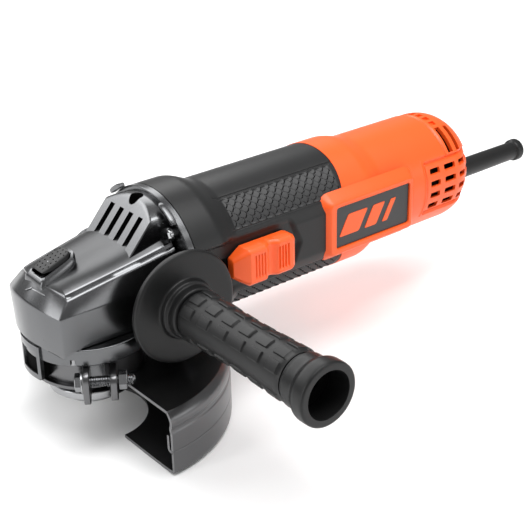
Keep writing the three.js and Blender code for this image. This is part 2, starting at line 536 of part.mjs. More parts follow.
// ---- assembly -----------------------------------------------------------------------------
const grinder = new THREE.Group();
grinder.name = 'angle_grinder';
const motorLine = new THREE.Group();
motorLine.position.set(0, 0, MOTOR_Z);
const handleLine = new THREE.Group();
handleLine.position.set(HANDLE_X, 0, HANDLE_Z);
grinder.add(motorLine, handleLine);

buildGearHead(grinder);
buildSpindle(grinder);
buildClampNut(grinder);
buildLock(grinder);
buildMotorHousing(motorLine);
buildArmature(motorLine);
buildRear(motorLine);
buildSwitchSlider(motorLine);
buildGuard(grinder);
buildSideHandle(handleLine);

export default grinder;
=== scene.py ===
"""Looks of a corded angle grinder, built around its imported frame.

Lengths inside the classes are millimetres in the frame's own axes: +Z up along the spindle, +X back
along the motor, the side handle on -Y. A mesh is turned to metres when it becomes an object.
"""

import json
import logging
import math
from dataclasses import dataclass, field
from enum import Enum
from typing import Any, Sequence

import bmesh
import bpy
import numpy as np
from mathutils import Matrix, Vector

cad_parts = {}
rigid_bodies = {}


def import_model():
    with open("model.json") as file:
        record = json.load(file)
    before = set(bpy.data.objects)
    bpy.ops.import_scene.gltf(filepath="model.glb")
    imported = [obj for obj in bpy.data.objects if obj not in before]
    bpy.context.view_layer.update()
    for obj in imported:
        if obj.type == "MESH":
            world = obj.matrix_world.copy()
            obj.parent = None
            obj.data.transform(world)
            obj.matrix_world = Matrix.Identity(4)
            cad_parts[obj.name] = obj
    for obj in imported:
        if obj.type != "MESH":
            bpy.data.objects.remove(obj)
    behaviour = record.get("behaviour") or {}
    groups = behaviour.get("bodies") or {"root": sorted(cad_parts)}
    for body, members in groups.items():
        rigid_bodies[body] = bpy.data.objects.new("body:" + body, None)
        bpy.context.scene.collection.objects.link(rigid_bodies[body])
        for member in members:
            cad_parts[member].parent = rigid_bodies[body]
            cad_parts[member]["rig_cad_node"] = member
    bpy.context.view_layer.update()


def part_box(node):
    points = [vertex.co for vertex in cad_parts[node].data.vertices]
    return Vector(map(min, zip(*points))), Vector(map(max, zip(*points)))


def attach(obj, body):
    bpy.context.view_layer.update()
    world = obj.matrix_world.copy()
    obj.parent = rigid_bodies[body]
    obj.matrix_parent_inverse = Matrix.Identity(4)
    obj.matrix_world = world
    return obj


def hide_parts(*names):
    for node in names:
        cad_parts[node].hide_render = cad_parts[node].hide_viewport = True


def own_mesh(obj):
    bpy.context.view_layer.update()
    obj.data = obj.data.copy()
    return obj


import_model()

LOG = logging.getLogger("grinder")
MM = 0.001
TAU = 2.0 * math.pi


def extent(node: str) -> tuple[np.ndarray, np.ndarray]:
    """Lowest and highest corner of a frame node, in millimetres.

    Args:
        node: name of the node.

    Returns:
        The two corners as arrays of x, y and z.
    """
    low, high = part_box(node)
    return np.array(low) / MM, np.array(high) / MM


def middle(node: str) -> np.ndarray:
    """Centre of a frame node's box, in millimetres."""
    low, high = extent(node)
    return (low + high) / 2


MOTOR_Z = float(middle("rotor_core")[2])
HANDLE_X, _, HANDLE_Z = (float(v) for v in middle("handle_grip"))
CASE_HIGH = extent("gear_case")[1]
CASE_END = float(CASE_HIGH[0])
FLANGE_R = float(CASE_HIGH[2]) - MOTOR_Z
GUARD_R = float(extent("guard")[1][1])
GUARD_FOOT = float(extent("guard_cover")[0][2])
GUARD_ROOF = 18.0
BODY_R = 32.0
FLAT_Y = 30.5


# ---- shader maths ---------------------------------------------------------------------------
class Wire:
    """An output socket whose sums and products add Math nodes to its tree."""

    def __init__(self, shader: "Shader", socket: Any) -> None:
        """Keeps the shader that owns the socket.

        Args:
            shader: shader the nodes are added to.
            socket: output socket this wire stands for.
        """
        self.shader = shader
        self.socket = socket

    def _math(self, operation: str, first: Any, second: Any) -> "Wire":
        """One Math node on two values or wires."""
        return self.shader.node("ShaderNodeMath", {"operation": operation}, {0: first, 1: second})

    def __add__(self, other: Any) -> "Wire":
        """Sum."""
        return self._math("ADD", self, other)

    __radd__ = __add__

    def __mul__(self, other: Any) -> "Wire":
        """Product."""
        return self._math("MULTIPLY", self, other)

    __rmul__ = __mul__


class Shader:
    """A material with a Principled shader, built node by node."""

    def __init__(self, name: str) -> None:
        """Starts an empty material.

        Args:
            name: the material's name.
        """
        self.material = bpy.data.materials.new(name)
        self.material.use_nodes = True
        self.tree = self.material.node_tree
        self.tree.nodes.clear()
        self.output = self.tree.nodes.new("ShaderNodeOutputMaterial")
        self.surface = self.tree.nodes.new("ShaderNodeBsdfPrincipled")
        self.tree.links.new(self.surface.outputs[0], self.output.inputs["Surface"])

    def node(self, kind: str, settings: dict[str, Any], sockets: dict[Any, Any], output: Any = 0) -> Wire:
        """Adds one node.

        Args:
            kind: the node's type name.
            settings: attributes set before its sockets.
            sockets: input name or number to a value or a wire.
            output: name or number of the output wanted.

        Returns:
            The wanted output as a wire.
        """
        made = self.tree.nodes.new(kind)
        for key, value in settings.items():
            setattr(made, key, value)
        for key, value in sockets.items():
            self.feed(made.inputs[key], value)
        return Wire(self, made.outputs[output])

    def feed(self, socket: Any, value: Any) -> None:
        """Links a wire into a socket, or sets the socket's value.

        Args:
            socket: input socket to feed.
            value: a wire, or a constant.
        """
        if isinstance(value, Wire):
            self.tree.links.new(value.socket, socket)
        else:
            socket.default_value = value

    def set(self, **sockets: Any) -> None:
        """Feeds the Principled shader; an underscore in a name stands for a space."""
        for key, value in sockets.items():
            self.feed(self.surface.inputs[key.replace("_", " ")], value)

    def place(self) -> Wire:
        """Object coordinates, which are metres in the frame."""
        return self.node("ShaderNodeTexCoord", {}, {}, "Object")

    def noise(self, size_mm: float, detail: float = 2.0) -> Wire:
        """Noise whose features are about size_mm across."""
        sockets = {"Vector": self.place(), "Scale": 1 / (size_mm * MM), "Detail": detail}
        return self.node("ShaderNodeTexNoise", {}, sockets, "Fac")

    def blend(self, share: Any, first: Sequence[float], second: Sequence[float]) -> Wire:
        """Mixes two colours by a share from 0 to 1."""
        mix = {"data_type": "RGBA"}
        return self.node("ShaderNodeMix", mix, {0: share, 6: (*first, 1), 7: (*second, 1)}, 2)


@dataclass(frozen=True)
class Finish:
    """A finish: colour, gloss and the fine grain of its surface."""

    name: str
    colour: tuple[float, float, float]
    roughness: float
    metallic: float = 0.0
    grain_mm: float = 0.35
    grain_depth: float = 0.012
    mottle: float = 0.12
    specular: float = 0.5

    def material(self) -> bpy.types.Material:
        """Builds the material once and returns it afterwards.

        Returns:
            A material whose colour and roughness drift slowly, with a fine moulded or cast grain in bump.
        """
        known = bpy.data.materials.get(self.name)
        if known:
            return known
        shader = Shader(self.name)
        drift = shader.noise(18.0, 3.0)
        specks = shader.noise(2.2, 4.0)
        dark = [c * (1 - self.mottle) for c in self.colour]
        light = [min(1.0, c * (1 + self.mottle)) for c in self.colour]
        shader.set(Base_Color=shader.blend(drift * 0.7 + specks * 0.3, dark, light))
        shader.set(Roughness=drift * 0.08 + specks * 0.06 + (self.roughness - 0.07))
        grain = shader.noise(self.grain_mm, 2.0)
        bump = {"Height": grain, "Distance": self.grain_depth * MM, "Strength": 1.0}
        shader.set(Normal=shader.node("ShaderNodeBump", {}, bump))
        shader.set(Metallic=self.metallic, Specular_IOR_Level=self.specular)
        return shader.material


class Finishes(Enum):
    """Every finish on the grinder, with two near-black painted shades."""

    CASTING = Finish("satin_cast_alloy", (0.135, 0.137, 0.141), 0.25, 1.0, 0.6, 0.0006, 0.05)
    CASTING_PANEL = Finish("blasted_cast_panel", (0.082, 0.083, 0.085), 0.34, 1.0, 0.5, 0.001, 0.05)
    GUARD = Finish("dark_pressed_steel", (0.13, 0.13, 0.133), 0.3, 1.0, 0.8, 0.0006, 0.06)
    CUT_EDGE = Finish("worn_steel_edge", (0.2, 0.2, 0.205), 0.3, 1.0, 0.8, 0.001, 0.1)
    # Painted shade: near black for the inside of the guard's sheet.
    GUARD_SHADE = Finish("guard_inside_shade", (0.012, 0.012, 0.013), 0.55, 0.3, 0.8, 0.01, 0.2)
    STEEL = Finish("bright_zinc_steel", (0.3, 0.303, 0.31), 0.24, 1.0, 0.6, 0.0008, 0.08)
    BEARING = Finish("ground_bearing_steel", (0.48, 0.49, 0.5), 0.2, 1.0, 0.9, 0.002, 0.05)
    BLACK = Finish("black_moulded_plastic", (0.01, 0.0102, 0.0105), 0.4, 0.0, 0.32, 0.006, 0.1, 0.34)
    TEXTURE = Finish("soft_black_panel", (0.026, 0.0262, 0.027), 0.5, 0.0, 0.3, 0.006, 0.1, 0.36)
    HANDLE = Finish("black_handle_plastic", (0.007, 0.0071, 0.0073), 0.38, 0.0, 0.3, 0.006, 0.1, 0.3)
    GRIP = Finish("soft_handle_rubber", (0.008, 0.0081, 0.0083), 0.42, 0.0, 0.4, 0.008, 0.12, 0.32)
    SLEEVE = Finish("black_sleeve_rubber", (0.008, 0.0081, 0.0083), 0.4, 0.0, 0.5, 0.01, 0.12, 0.34)
    ORANGE = Finish("orange_moulded_plastic", (0.9, 0.105, 0.011), 0.38, 0.0, 0.4, 0.008, 0.03)
    BADGE = Finish("dark_badge", (0.022, 0.0223, 0.023), 0.4, 0.0, 0.5, 0.004, 0.08)
    # Painted shade: near black for bores, slot walls, hollows, the window, the switch slot, the scale rims
    # and the rear housing's inside.
    PAINTED_SHADE = Finish("painted_shade", (0.002, 0.002, 0.002), 0.85, 0.0, 0.6, 0.01, 0.2, 0.05)
    COPPER = Finish("enamelled_copper", (0.6, 0.23, 0.08), 0.3, 0.95, 0.7, 0.05, 0.15)
    BRASS = Finish("drawn_brass", (0.62, 0.44, 0.16), 0.28, 1.0, 0.6, 0.005, 0.1)
    CARBON = Finish("pressed_carbon", (0.02, 0.02, 0.021), 0.6, 0.1, 0.3, 0.02, 0.2)
    LAMINATE = Finish("stacked_sheet", (0.3, 0.305, 0.315), 0.42, 0.9, 0.5, 0.03, 0.15)

    def material(self) -> bpy.types.Material:
        """The finish's material."""
        return self.value.material()


# ---- surfaces -------------------------------------------------------------------------------
def soften(keys: np.ndarray, shares: float | Sequence[float], steps: int = 4,
           closed: bool = False) -> np.ndarray:
    """Rounds the corners of a line of key points.

    Corner k becomes the curve (1-t)(1-t)a + 2t(1-t)k + t t b, where a and b lie a share of the way to
    the neighbours of k. The key points may carry extra axes, so whole rows are rounded at once.

    Args:
        keys: array whose first axis runs along the line.
        shares: share of each neighbouring run, up to 0.5, one number or one per key.
        steps: pieces each corner is cut into.
        closed: whether the line returns to its first point.

    Returns:
        The rounded line, longer along its first axis.
    """
    keys = np.asarray(keys, float)
    count = len(keys)
    shares = np.broadcast_to(np.asarray(shares, float), (count,))
    t = np.linspace(0, 1, steps + 1).reshape((-1,) + (1,) * (keys.ndim - 1))
    parts = []
    for k in range(count):
        if not closed and k in (0, count - 1):
            parts.append(keys[k:k + 1])
            continue
        here = keys[k]
        a = here + shares[k] * (keys[k - 1] - here)
        b = here + shares[k] * (keys[(k + 1) % count] - here)
        parts.append((1 - t) ** 2 * a + 2 * t * (1 - t) * here + t ** 2 * b)
    return np.concatenate(parts)


def smoothstep(value: np.ndarray, low: float, high: float) -> np.ndarray:
    """0 below low, 1 above high, and 3tt - 2ttt between them."""
    t = np.clip((value - low) / (high - low), 0, 1)
    return t * t * (3 - 2 * t)


def grid_quads(rows: int, cols: int, wrap_rows: bool, wrap_cols: bool) -> np.ndarray:
    """Quads between neighbouring rows and columns of a grid.

    Args:
        rows: number of rows.
        cols: number of points in a row.
        wrap_rows: whether the last row joins the first.
        wrap_cols: whether the last point of a row joins its first.

    Returns:
        Four corner numbers a quad, row by row.
    """
    r = np.arange(rows if wrap_rows else rows - 1)[:, None]
    c = np.arange(cols if wrap_cols else cols - 1)[None, :]
    r1, c1 = (r + 1) % rows, (c + 1) % cols
    corners = np.broadcast_arrays(r * cols + c, r * cols + c1, r1 * cols + c1, r1 * cols + c)
    return np.stack([corner.ravel() for corner in corners], axis=1)


class Shell:
    """Closed surfaces gathered into one mesh. Each surface may have its own finish."""

    def __init__(self) -> None:
        """Starts empty."""
        self.points: list[np.ndarray] = []
        self.quads: list[np.ndarray] = []
        self.finish: list[np.ndarray] = []
        self.count = 0

    def add(self, points: np.ndarray, quads: np.ndarray, finish: int | np.ndarray = 0) -> "Shell":
        """Adds one closed surface and turns its faces outwards.

        The volume is the sum over triangles of a . (b x c) / 6; a negative one turns every face round.

        Args:
            points: corners, one row each.
            quads: four corner numbers a face; a triangle repeats its last corner.
            finish: material number of the faces.

        Returns:
            The shell itself.
        """
        points = np.asarray(points, float).reshape(-1, 3)
        a, b, c, d = (points[quads[:, k]] for k in range(4))
        volume = np.sum(a * np.cross(b, c)) + np.sum(a * np.cross(c, d))
        faces = quads if volume > 0 else quads[:, ::-1]
        self.points.append(points)
        self.quads.append(faces + self.count)
        self.finish.append(np.broadcast_to(finish, len(faces)).copy())
        self.count += len(points)
        return self

    def skin(self, grid: np.ndarray, wrap_rows: bool = False, finish: int | np.ndarray = 0) -> "Shell":
        """Adds a tube of closed rows; open ends are closed with a fan round their middle.

        Args:
            grid: points by row, by place in the row and by axis.
            wrap_rows: whether the last row joins the first, which leaves no ends.
            finish: material number, or one per face.

        Returns:
            The shell itself.
        """
        rows, cols = grid.shape[:2]
        quads = [grid_quads(rows, cols, wrap_rows, True)]
        points = [grid.reshape(-1, 3)]
        if not wrap_rows:
            k = np.arange(cols)
            nxt = (k + 1) % cols
            first, last = rows * cols, rows * cols + 1
            points.append(np.array([grid[0].mean(0), grid[-1].mean(0)]))
            quads.append(np.stack([nxt, k, np.full(cols, first), np.full(cols, first)], 1))
            base = (rows - 1) * cols
            quads.append(np.stack([base + k, base + nxt, np.full(cols, last), np.full(cols, last)], 1))
        return self.add(np.concatenate(points), np.concatenate(quads), finish)

    def turned(self, profile: np.ndarray, axis: "Axis", centre: Sequence[float] = (0, 0, 0),
               segments: int = 96, finish: int | np.ndarray = 0) -> "Shell":
        """Turns a profile of (radius, height) about an axis.

        A point is centre + height u + radius (cos a v + sin a w). A profile that starts off the axis
        closes on itself, and one that starts on it is closed by its poles.

        Args:
            profile: radii and heights.
            axis: the axis turned about.
            centre: point on the axis at height 0.
            segments: steps round.
            finish: material number, or one per run of the profile.

        Returns:
            The shell itself.
        """
        u, v, w = axis.value
        a = np.linspace(0, TAU, segments, endpoint=False)[None, :, None]
        r, h = (np.asarray(profile, float)[:, k, None, None] for k in (0, 1))
        across = np.cos(a) * np.array(v) + np.sin(a) * np.array(w)
        grid = np.array(centre, float) + h * np.array(u) + r * across
        on_axis = abs(profile[0][0]) < 1e-9
        if isinstance(finish, np.ndarray):
            finish = np.repeat(finish, segments)
        return self.skin(grid, wrap_rows=not on_axis, finish=finish)

    def plate(self, outline: np.ndarray, levels: Sequence[tuple[float, float]], place: "Axis",
              centre: Sequence[float] = (0, 0, 0)) -> "Shell":
        """Stacks copies of an outline, each moved in along its normals, into a solid with soft edges.

        Args:
            outline: closed outline of (v, w) points.
            levels: (height along u, inset) for each copy, from one face to the other.
            place: the axis u and the directions v and w of the outline.
            centre: where the outline's origin goes.

        Returns:
            The shell itself.
        """
        u, v, w = (np.array(d, float) for d in place.value)
        rows = []
        for height, inset in levels:
            flat = offset_outline(outline, inset)
            rows.append(np.array(centre, float) + height * u + flat[:, :1] * v + flat[:, 1:] * w)
        return self.skin(np.array(rows))

    def object(self, name: str, body: str, slot: str, finishes: Sequence[Finishes], sharp: float = 34.0,
               replaces: Sequence[str] = (), cut: "Shell | None" = None,
               cut_finish: Finishes | None = None) -> bpy.types.Object:
        """Makes the mesh object, carves it if asked, shades it and puts it on its body.

        Args:
            name: piece name.
            body: body it rides on.
            slot: the record's material slot; not used.
            finishes: finishes by material number; a carving takes the last one.
            sharp: edges bent by more than this angle stay sharp.
            replaces: frame nodes this piece stands for.
            cut: closed surfaces taken away from the mesh.
            cut_finish: finish of the cut faces; the last finish when it is left out.

        Returns:
            The finished object.
        """
        made = self.raw(name, [f.material() for f in finishes])
        if cut is not None:
            carve(made, cut.raw(name + "_tool", [(cut_finish or finishes[-1]).material()]))
        made.data.shade_smooth()
        made.data.set_sharp_from_angle(angle=math.radians(sharp))
        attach(made, body)
        if replaces:
            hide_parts(*replaces)
        LOG.info("%s on %s: %d faces", name, body, len(made.data.polygons))
        return made

    def raw(self, name: str, materials: Sequence[bpy.types.Material]) -> bpy.types.Object:
        """Writes the arrays into a new mesh, in metres, and merges its double corners.

        Args:
            name: name of the mesh and of its object.
            materials: materials by number.

        Returns:
            The object, linked to the scene.
        """
        points = np.concatenate(self.points) * MM
        quads = np.concatenate(self.quads)
        finish = np.concatenate(self.finish)
        mesh = bpy.data.meshes.new(name)
        mesh.vertices.add(len(points))
        mesh.vertices.foreach_set("co", points.astype(np.float32).ravel())
        keep = quads != np.roll(quads, -1, axis=1)
        sizes = keep.sum(1)
        mesh.loops.add(int(sizes.sum()))
        mesh.loops.foreach_set("vertex_index", quads[keep].astype(np.int32))
        mesh.polygons.add(len(quads))
        starts = np.concatenate([[0], np.cumsum(sizes)[:-1]])
        mesh.polygons.foreach_set("loop_start", starts.astype(np.int32))
        mesh.polygons.foreach_set("material_index", finish.astype(np.int32))
        mesh.update(calc_edges=True)
        mesh.validate()
        work = bmesh.new()
        work.from_mesh(mesh)
        bmesh.ops.remove_doubles(work, verts=work.verts, dist=1e-6)
        bmesh.ops.dissolve_degenerate(work, edges=work.edges, dist=1e-7)
        work.to_mesh(mesh)
        work.free()
        for material in materials:
            mesh.materials.append(material)
        made = bpy.data.objects.new(name, mesh)
        bpy.context.scene.collection.objects.link(made)
        return made


class Axis(Enum):
    """Directions (u, v, w): u is the axis, v and w span the plane across it."""

    X = ((1, 0, 0), (0, 1, 0), (0, 0, 1))
    Y = ((0, 1, 0), (0, 0, 1), (1, 0, 0))
    MINUS_Y = ((0, -1, 0), (1, 0, 0), (0, 0, 1))
    Y_BACK = ((0, 1, 0), (1, 0, 0), (0, 0, 1))
    Z = ((0, 0, 1), (1, 0, 0), (0, 1, 0))


def flank(side: int) -> Axis:
    """Directions of one flank of the body: out of it, back along X and up."""
    return Axis.MINUS_Y if side < 0 else Axis.Y_BACK


def offset_outline(outline: np.ndarray, inset: float) -> np.ndarray:
    """Moves a closed outline inwards along the mean normals of its runs.

    At a corner the step is m / (m . n), where n is a run's normal and m the sum of both normals, so that
    each run keeps its distance; the divisor is held at 0.4 or more to tame sharp corners.

    Args:
        outline: closed outline, one point a row.
        inset: distance inwards; a negative one grows the outline.

    Returns:
        The moved outline, point for point.
    """
    ahead = np.roll(outline, -1, 0) - outline
    behind = outline - np.roll(outline, 1, 0)
    area = np.sum(outline[:, 0] * np.roll(outline[:, 1], -1) - outline[:, 1] * np.roll(outline[:, 0], -1))
    side = 1.0 if area > 0 else -1.0
    normals = []
    for run in (ahead, behind):
        n = np.stack([-run[:, 1], run[:, 0]], 1)
        normals.append(n / np.maximum(np.linalg.norm(n, axis=1, keepdims=True), 1e-9))
    mean = normals[0] + normals[1]
    mean = mean / np.maximum(np.sum(mean * normals[0], 1, keepdims=True), 0.4)
    return outline + side * inset * mean


def carve(body: bpy.types.Object, tool: bpy.types.Object) -> None:
    """Takes the tool's volume away from the body and deletes the tool.

    Args:
        body: object that keeps its name and gets the new mesh.
        tool: closed surfaces to take away.
    """
    cut = body.modifiers.new("cut", "BOOLEAN")
    cut.operation = "DIFFERENCE"
    cut.solver = "EXACT"
    cut.use_self = True
    cut.material_mode = "TRANSFER"
    cut.object = tool
    graph = bpy.context.evaluated_depsgraph_get()
    mesh = bpy.data.meshes.new_from_object(body.evaluated_get(graph))
    body.modifiers.clear()
    old = body.data
    body.data = mesh
    bpy.data.meshes.remove(old)
    bpy.data.objects.remove(tool)


def rounded_box(size: Sequence[float], radius: float) -> np.ndarray:
    """Closed outline of a rectangle with round corners, centred on its origin.

    Args:
        size: its two sides.
        radius: radius of the corners.

    Returns:
        The outline, counterclockwise from its first corner.
    """
    a, b = size[0] / 2, size[1] / 2
    line = []
    for quarter, (x, y) in enumerate(((a, b), (-a, b), (-a, -b), (a, -b))):
        arc = np.linspace(quarter, quarter + 1, 6) * math.pi / 2
        centre = np.array([x - math.copysign(radius, x), y - math.copysign(radius, y)])
        line.append(centre + radius * np.stack([np.cos(arc), np.sin(arc)], 1))
    return np.concatenate(line)


def swept(profile: np.ndarray, angles: np.ndarray) -> np.ndarray:
    """Carries a closed profile round +Z: a point is (r cos a, r sin a, h).

    Args:
        profile: radii and heights.
        angles: angle of each row, in radians from +X.

    Returns:
        Grid of closed rows, one per angle.
    """
    r, h = profile[None, :, 0], profile[None, :, 1]
    a = angles[:, None]
    return np.stack([r * np.cos(a), r * np.sin(a), np.broadcast_to(h, (len(angles), len(profile)))], 2)


def strip_ends(shell: Shell, grid: np.ndarray, finish: int | np.ndarray = 0) -> Shell:
    """Adds a swept sheet, whose ends are closed by quads straight across it.

    Args:
        shell: shell that takes the sheet.
        grid: rows that are closed loops, with two halves that face each other across the sheet.
        finish: material number, or one per face with the two ends last.

    Returns:
        The shell itself.
    """
    rows, cols = grid.shape[:2]
    k = np.arange(cols // 2 - 1)
    quads = [grid_quads(rows, cols, False, True)]
    for base, flip in ((0, False), ((rows - 1) * cols, True)):
        cap = np.stack([base + k + 1, base + k, base + cols - 1 - k, base + cols - 2 - k], 1)
        quads.append(cap[:, ::-1] if flip else cap)
    return shell.add(grid, np.concatenate(quads), finish)


# ---- gear head ------------------------------------------------------------------------------
@dataclass
class GearHead:
    """Cast gear case with its louvred brow, flange, bosses and bezel, and the cover below."""

    crown_power: float = 4.0
    panel_rim: float = 0.105
    panel_drop: float = 0.35
    brow_half: float = 18.5
    brow_low: float = 62.0
    brow_foot: tuple[float, float] = (14.8, 72.6)
    brow_slope: float = 1.13
    dome_r: float = 34.4
    slot_places: tuple[float, ...] = (-11.25, -3.75, 3.75, 11.25)
    slot_half: float = 1.65
    slot_z: tuple[float, float] = (72.6, 84.3)
    flange_start: float = 35.0
    flange_bore: float = 13.5
    screw_at: float = 22.0
    boss_y: float = 37.5
    bezel_z: float = 70.6
    stations: tuple[tuple[tuple[float, float, float], ...], ...] = (
        ((33.5, 24.0, 30.0), (33.5, 26.5, 57.5), (33.5, 24.4, 71.2), (33.5, 0, 77.5)),
        ((18.0, 25.0, 38.0), (18.0, 26.5, 57.2), (17.5, 23.6, 68.6), (18.0, 0, 74.0)),
        ((6.0, 24.6, 38.0), (6.0, 26.0, 56.8), (5.0, 22.6, 66.5), (6.0, 0, 71.5)),
        ((-9.0, 23.8, 38.0), (-9.0, 25.0, 56.3), (-8.0, 21.4, 64.1), (-6.0, 0, 69.4)),
        ((-20.0, 22.8, 37.6), (-20.2, 23.8, 55.9), (-16.5, 20.6, 62.5), (-13.0, 0, 68.0)),
        ((-24.8, 22.0, 35.0), (-25.6, 22.5, 55.4), (-19.9, 20.0, 61.8), (-17.5, 0, 67.0)),
        ((-29.0, 12.5, 38.2), (-29.5, 12.5, 57.4), (-23.2, 10.0, 65.0), (-20.5, 0, 66.6)),
        ((-31.0, 0.0, 39.0), (-31.0, 0.0, 58.4), (-24.6, 0.0, 66.0), (-22.0, 0, 66.8)),
    )

    def build(self) -> None:
        """Builds every piece of the gear head."""
        self.case()
        self.brow()
        self.flange()
        self.bosses()
        self.bezel()
        self.cover()
        self.mark()

    def case(self) -> None:
        """The lower casting.

        Across the case each station runs up the side to edge B, over the bevel to edge A, past a rim and
        over a crown z = zA + (zT - zA)(1 - (1-t)^p). Along the case the stations are rounded into curves.
        """
        half = np.array(self.stations)
        mirror = half[:-1, :, :] * np.array([1, -1, 1])
        keys = np.concatenate([mirror, half[::-1]])
        shares = np.full(len(keys), 0.42)
        shares[[5, len(keys) - 6]] = 0.1
        shares[[4, len(keys) - 5]] = 0.3
        curve = soften(keys, shares, 5)
        low, b, a, top = (curve[:, k] for k in range(4))
        floor = low * np.array([1, 0, 1])
        rows = [floor, low + 0.06 * (floor - low), low + 0.05 * (b - low)]
        rows += self.edge(low, b, a, 0.045, 0.09)
        rim = a + 0.07 * (top - a)
        rim[:, 2] = a[:, 2] + 0.07 * 1.6 * (top - a)[:, 2]
        rows += self.edge(b, a, rim, 0.09, 0.45)
        rows.append(rim)
        for t in np.concatenate([[0.1, 0.108, 0.14], np.linspace(0.2, 1, 12)]):
            point = a + t * (top - a)
            drop = 0.0 if t < self.panel_rim else self.panel_drop
            point[:, 2] = a[:, 2] + (1 - (1 - t) ** self.crown_power) * (top - a)[:, 2] - drop
            rows.append(point)
        grid = np.stack(rows, 1)
        rows_n, cols = grid.shape[:2]
        quads = grid_quads(rows_n, cols, False, False)
        k = np.arange(cols - 1)
        end = (rows_n - 1) * cols
        rear = np.stack([k, k + 1, end + k + 1, end + k], 1)
        panel = (np.tile(np.arange(cols - 1), rows_n - 1) > 11).astype(int)
        finish = np.concatenate([panel, np.zeros(len(rear), int)])
        shell = Shell().add(grid, np.concatenate([quads, rear]), finish)
        well = Shell().plate(SpindleLock.outline(0.35), [(65.6, 0), (85.0, 0)], Axis.Z)
        shell.object("gear_case_shell", "housing", "casting", [Finishes.CASTING, Finishes.CASTING_PANEL], 40,
                     replaces=["gear_case"], cut=well, cut_finish=Finishes.CASTING)

    @staticmethod
    def edge(before: np.ndarray, here: np.ndarray, after: np.ndarray, back: float,
             ahead: float) -> list[np.ndarray]:
        """Rounds one edge that runs along the case.

        Args:
            before: row of points before the edge.
            here: the edge itself.
            after: row of points after it.
            back: share of the run before the edge that is rounded.
            ahead: share of the run after it.

        Returns:
            Three rows of points; the middle one is a quarter, a half and a quarter of its neighbours.
        """
        first = here + back * (before - here)
        last = here + ahead * (after - here)
        return [first, 0.25 * first + 0.5 * here + 0.25 * last, last]

    def dome(self, y: np.ndarray) -> np.ndarray:
        """Height of the dome over y: motor axis + sqrt(r r - y y)."""
        return MOTOR_Z + np.sqrt(self.dome_r ** 2 - y ** 2)

    def brow(self) -> None:
        """The louvred brow: a slope that meets the dome, with four slots through it."""
        soft, back = 0.5, CASE_END - 1
        between = np.linspace(-self.brow_half + soft, self.brow_half - soft, 31)
        foot = self.slope_x(self.brow_low)
        sections = []
        for y in (-self.brow_half, *between, self.brow_half):
            inset = soft if abs(y) == self.brow_half else 0.0
            z = float(self.dome(np.array(y))) - inset
            keys = np.array([[foot + inset, self.brow_low], [self.slope_x(z) + inset, z], [back, z],
                             [back, self.brow_low]])
            flat = soften(keys, [0.02, 0.06, 0.02, 0.02], 4, closed=True)
            sections.append(np.stack([flat[:, 0], np.full(len(flat), y), flat[:, 1]], 1))
        tool = Shell()
        for y in self.slot_places:
            tool.plate(self.slot_outline(), [(-self.slot_half, 0), (self.slot_half, 0)], Axis.Y, (0, y, 0))
        self.top_hole(tool)
        # The cut walls of the slots and of the stud hole take the near-black painted shade.
        Shell().skin(np.array(sections)).object("louvre_brow", "housing", "casting",
                                                [Finishes.CASTING, Finishes.PAINTED_SHADE], 30, cut=tool)

    @staticmethod
    def top_hole(tool: Shell) -> Shell:
        """Adds the upright hole for the side handle's stud to a cutting tool."""
        return tool.turned(np.array([[0, 82], [3.4, 82], [3.4, 95], [0, 95]]), Axis.Z, (30.5, 0, 0), 32)

    def slope_x(self, z: float) -> float:
        """Place along X of the brow's sloping face at height z."""
        return self.brow_foot[0] + (z - self.brow_foot[1]) / self.brow_slope

    def slot_outline(self) -> np.ndarray:
        """Outline of one slot, a parallelogram that follows the sloping face from before it to behind it.

        Returns:
            Four (z, x) points.
        """
        ahead, behind = -4, 8
        low, high = self.slot_z
        x_low, x_high = self.slope_x(low), self.slope_x(high)
        return np.array([(low, x_low + ahead), (low, x_low + behind), (high, x_high + behind),
                         (high, x_high + ahead)])

    def flange(self) -> None:
        """Flange ring that meets the motor housing, its two cleats and its four screws."""
        start, bore = self.flange_start, self.flange_bore
        ring = np.array([[bore, start], [FLANGE_R, start], [FLANGE_R, CASE_END], [bore, CASE_END]])
        profile = soften(ring, [0.01, 0.12, 0.05, 0.01], 4, closed=True)
        shell = Shell().turned(profile, Axis.X, (0, 0, MOTOR_Z), 160)
        cleats = Shell()
        for side in (-1, 1):
            cleats.skin(self.cleat(side))
        cleats.object("flange_cleats", "housing", "casting", [Finishes.CASTING], 32)
        reach = self.screw_at
        seat = soften(np.array([[0, 28.5], [4.9, 28.5], [5.6, 33.5], [0, 33.5]]), [0, 0.15, 0, 0], 3)
        for y in (-reach, reach):
            shell.turned(seat, Axis.X, (0, y, MOTOR_Z - reach), 32)
        # The stud hole's wall takes the near-black painted shade.
        shell.object("case_flange", "housing", "casting", [Finishes.CASTING], 32, cut=self.top_hole(Shell()),
                     cut_finish=Finishes.PAINTED_SHADE)
        head = soften(np.array([[0, 29.9], [2.4, 29.9], [3.4, 31.2], [3.4, 33.2], [0, 33.2]]), 0.25, 3)
        for k, (y, z) in enumerate(((reach, reach), (-reach, reach), (-reach, -reach), (reach, -reach))):
            centre = (0, y, MOTOR_Z + z)
            cross = Shell()
            cross.plate(rounded_box((4.2, 0.9), 0.2), [(29, 0), (31.4, 0)], Axis.X, centre)
            cross.plate(rounded_box((0.9, 4.2), 0.2), [(29.01, 0), (31.39, 0)], Axis.X, centre)
            Shell().turned(head, Axis.X, centre, 40).object(
                f"flange_screw_{k + 1}", "housing", "steel", [Finishes.STEEL, Finishes.STEEL], 30,
                cut=cross)

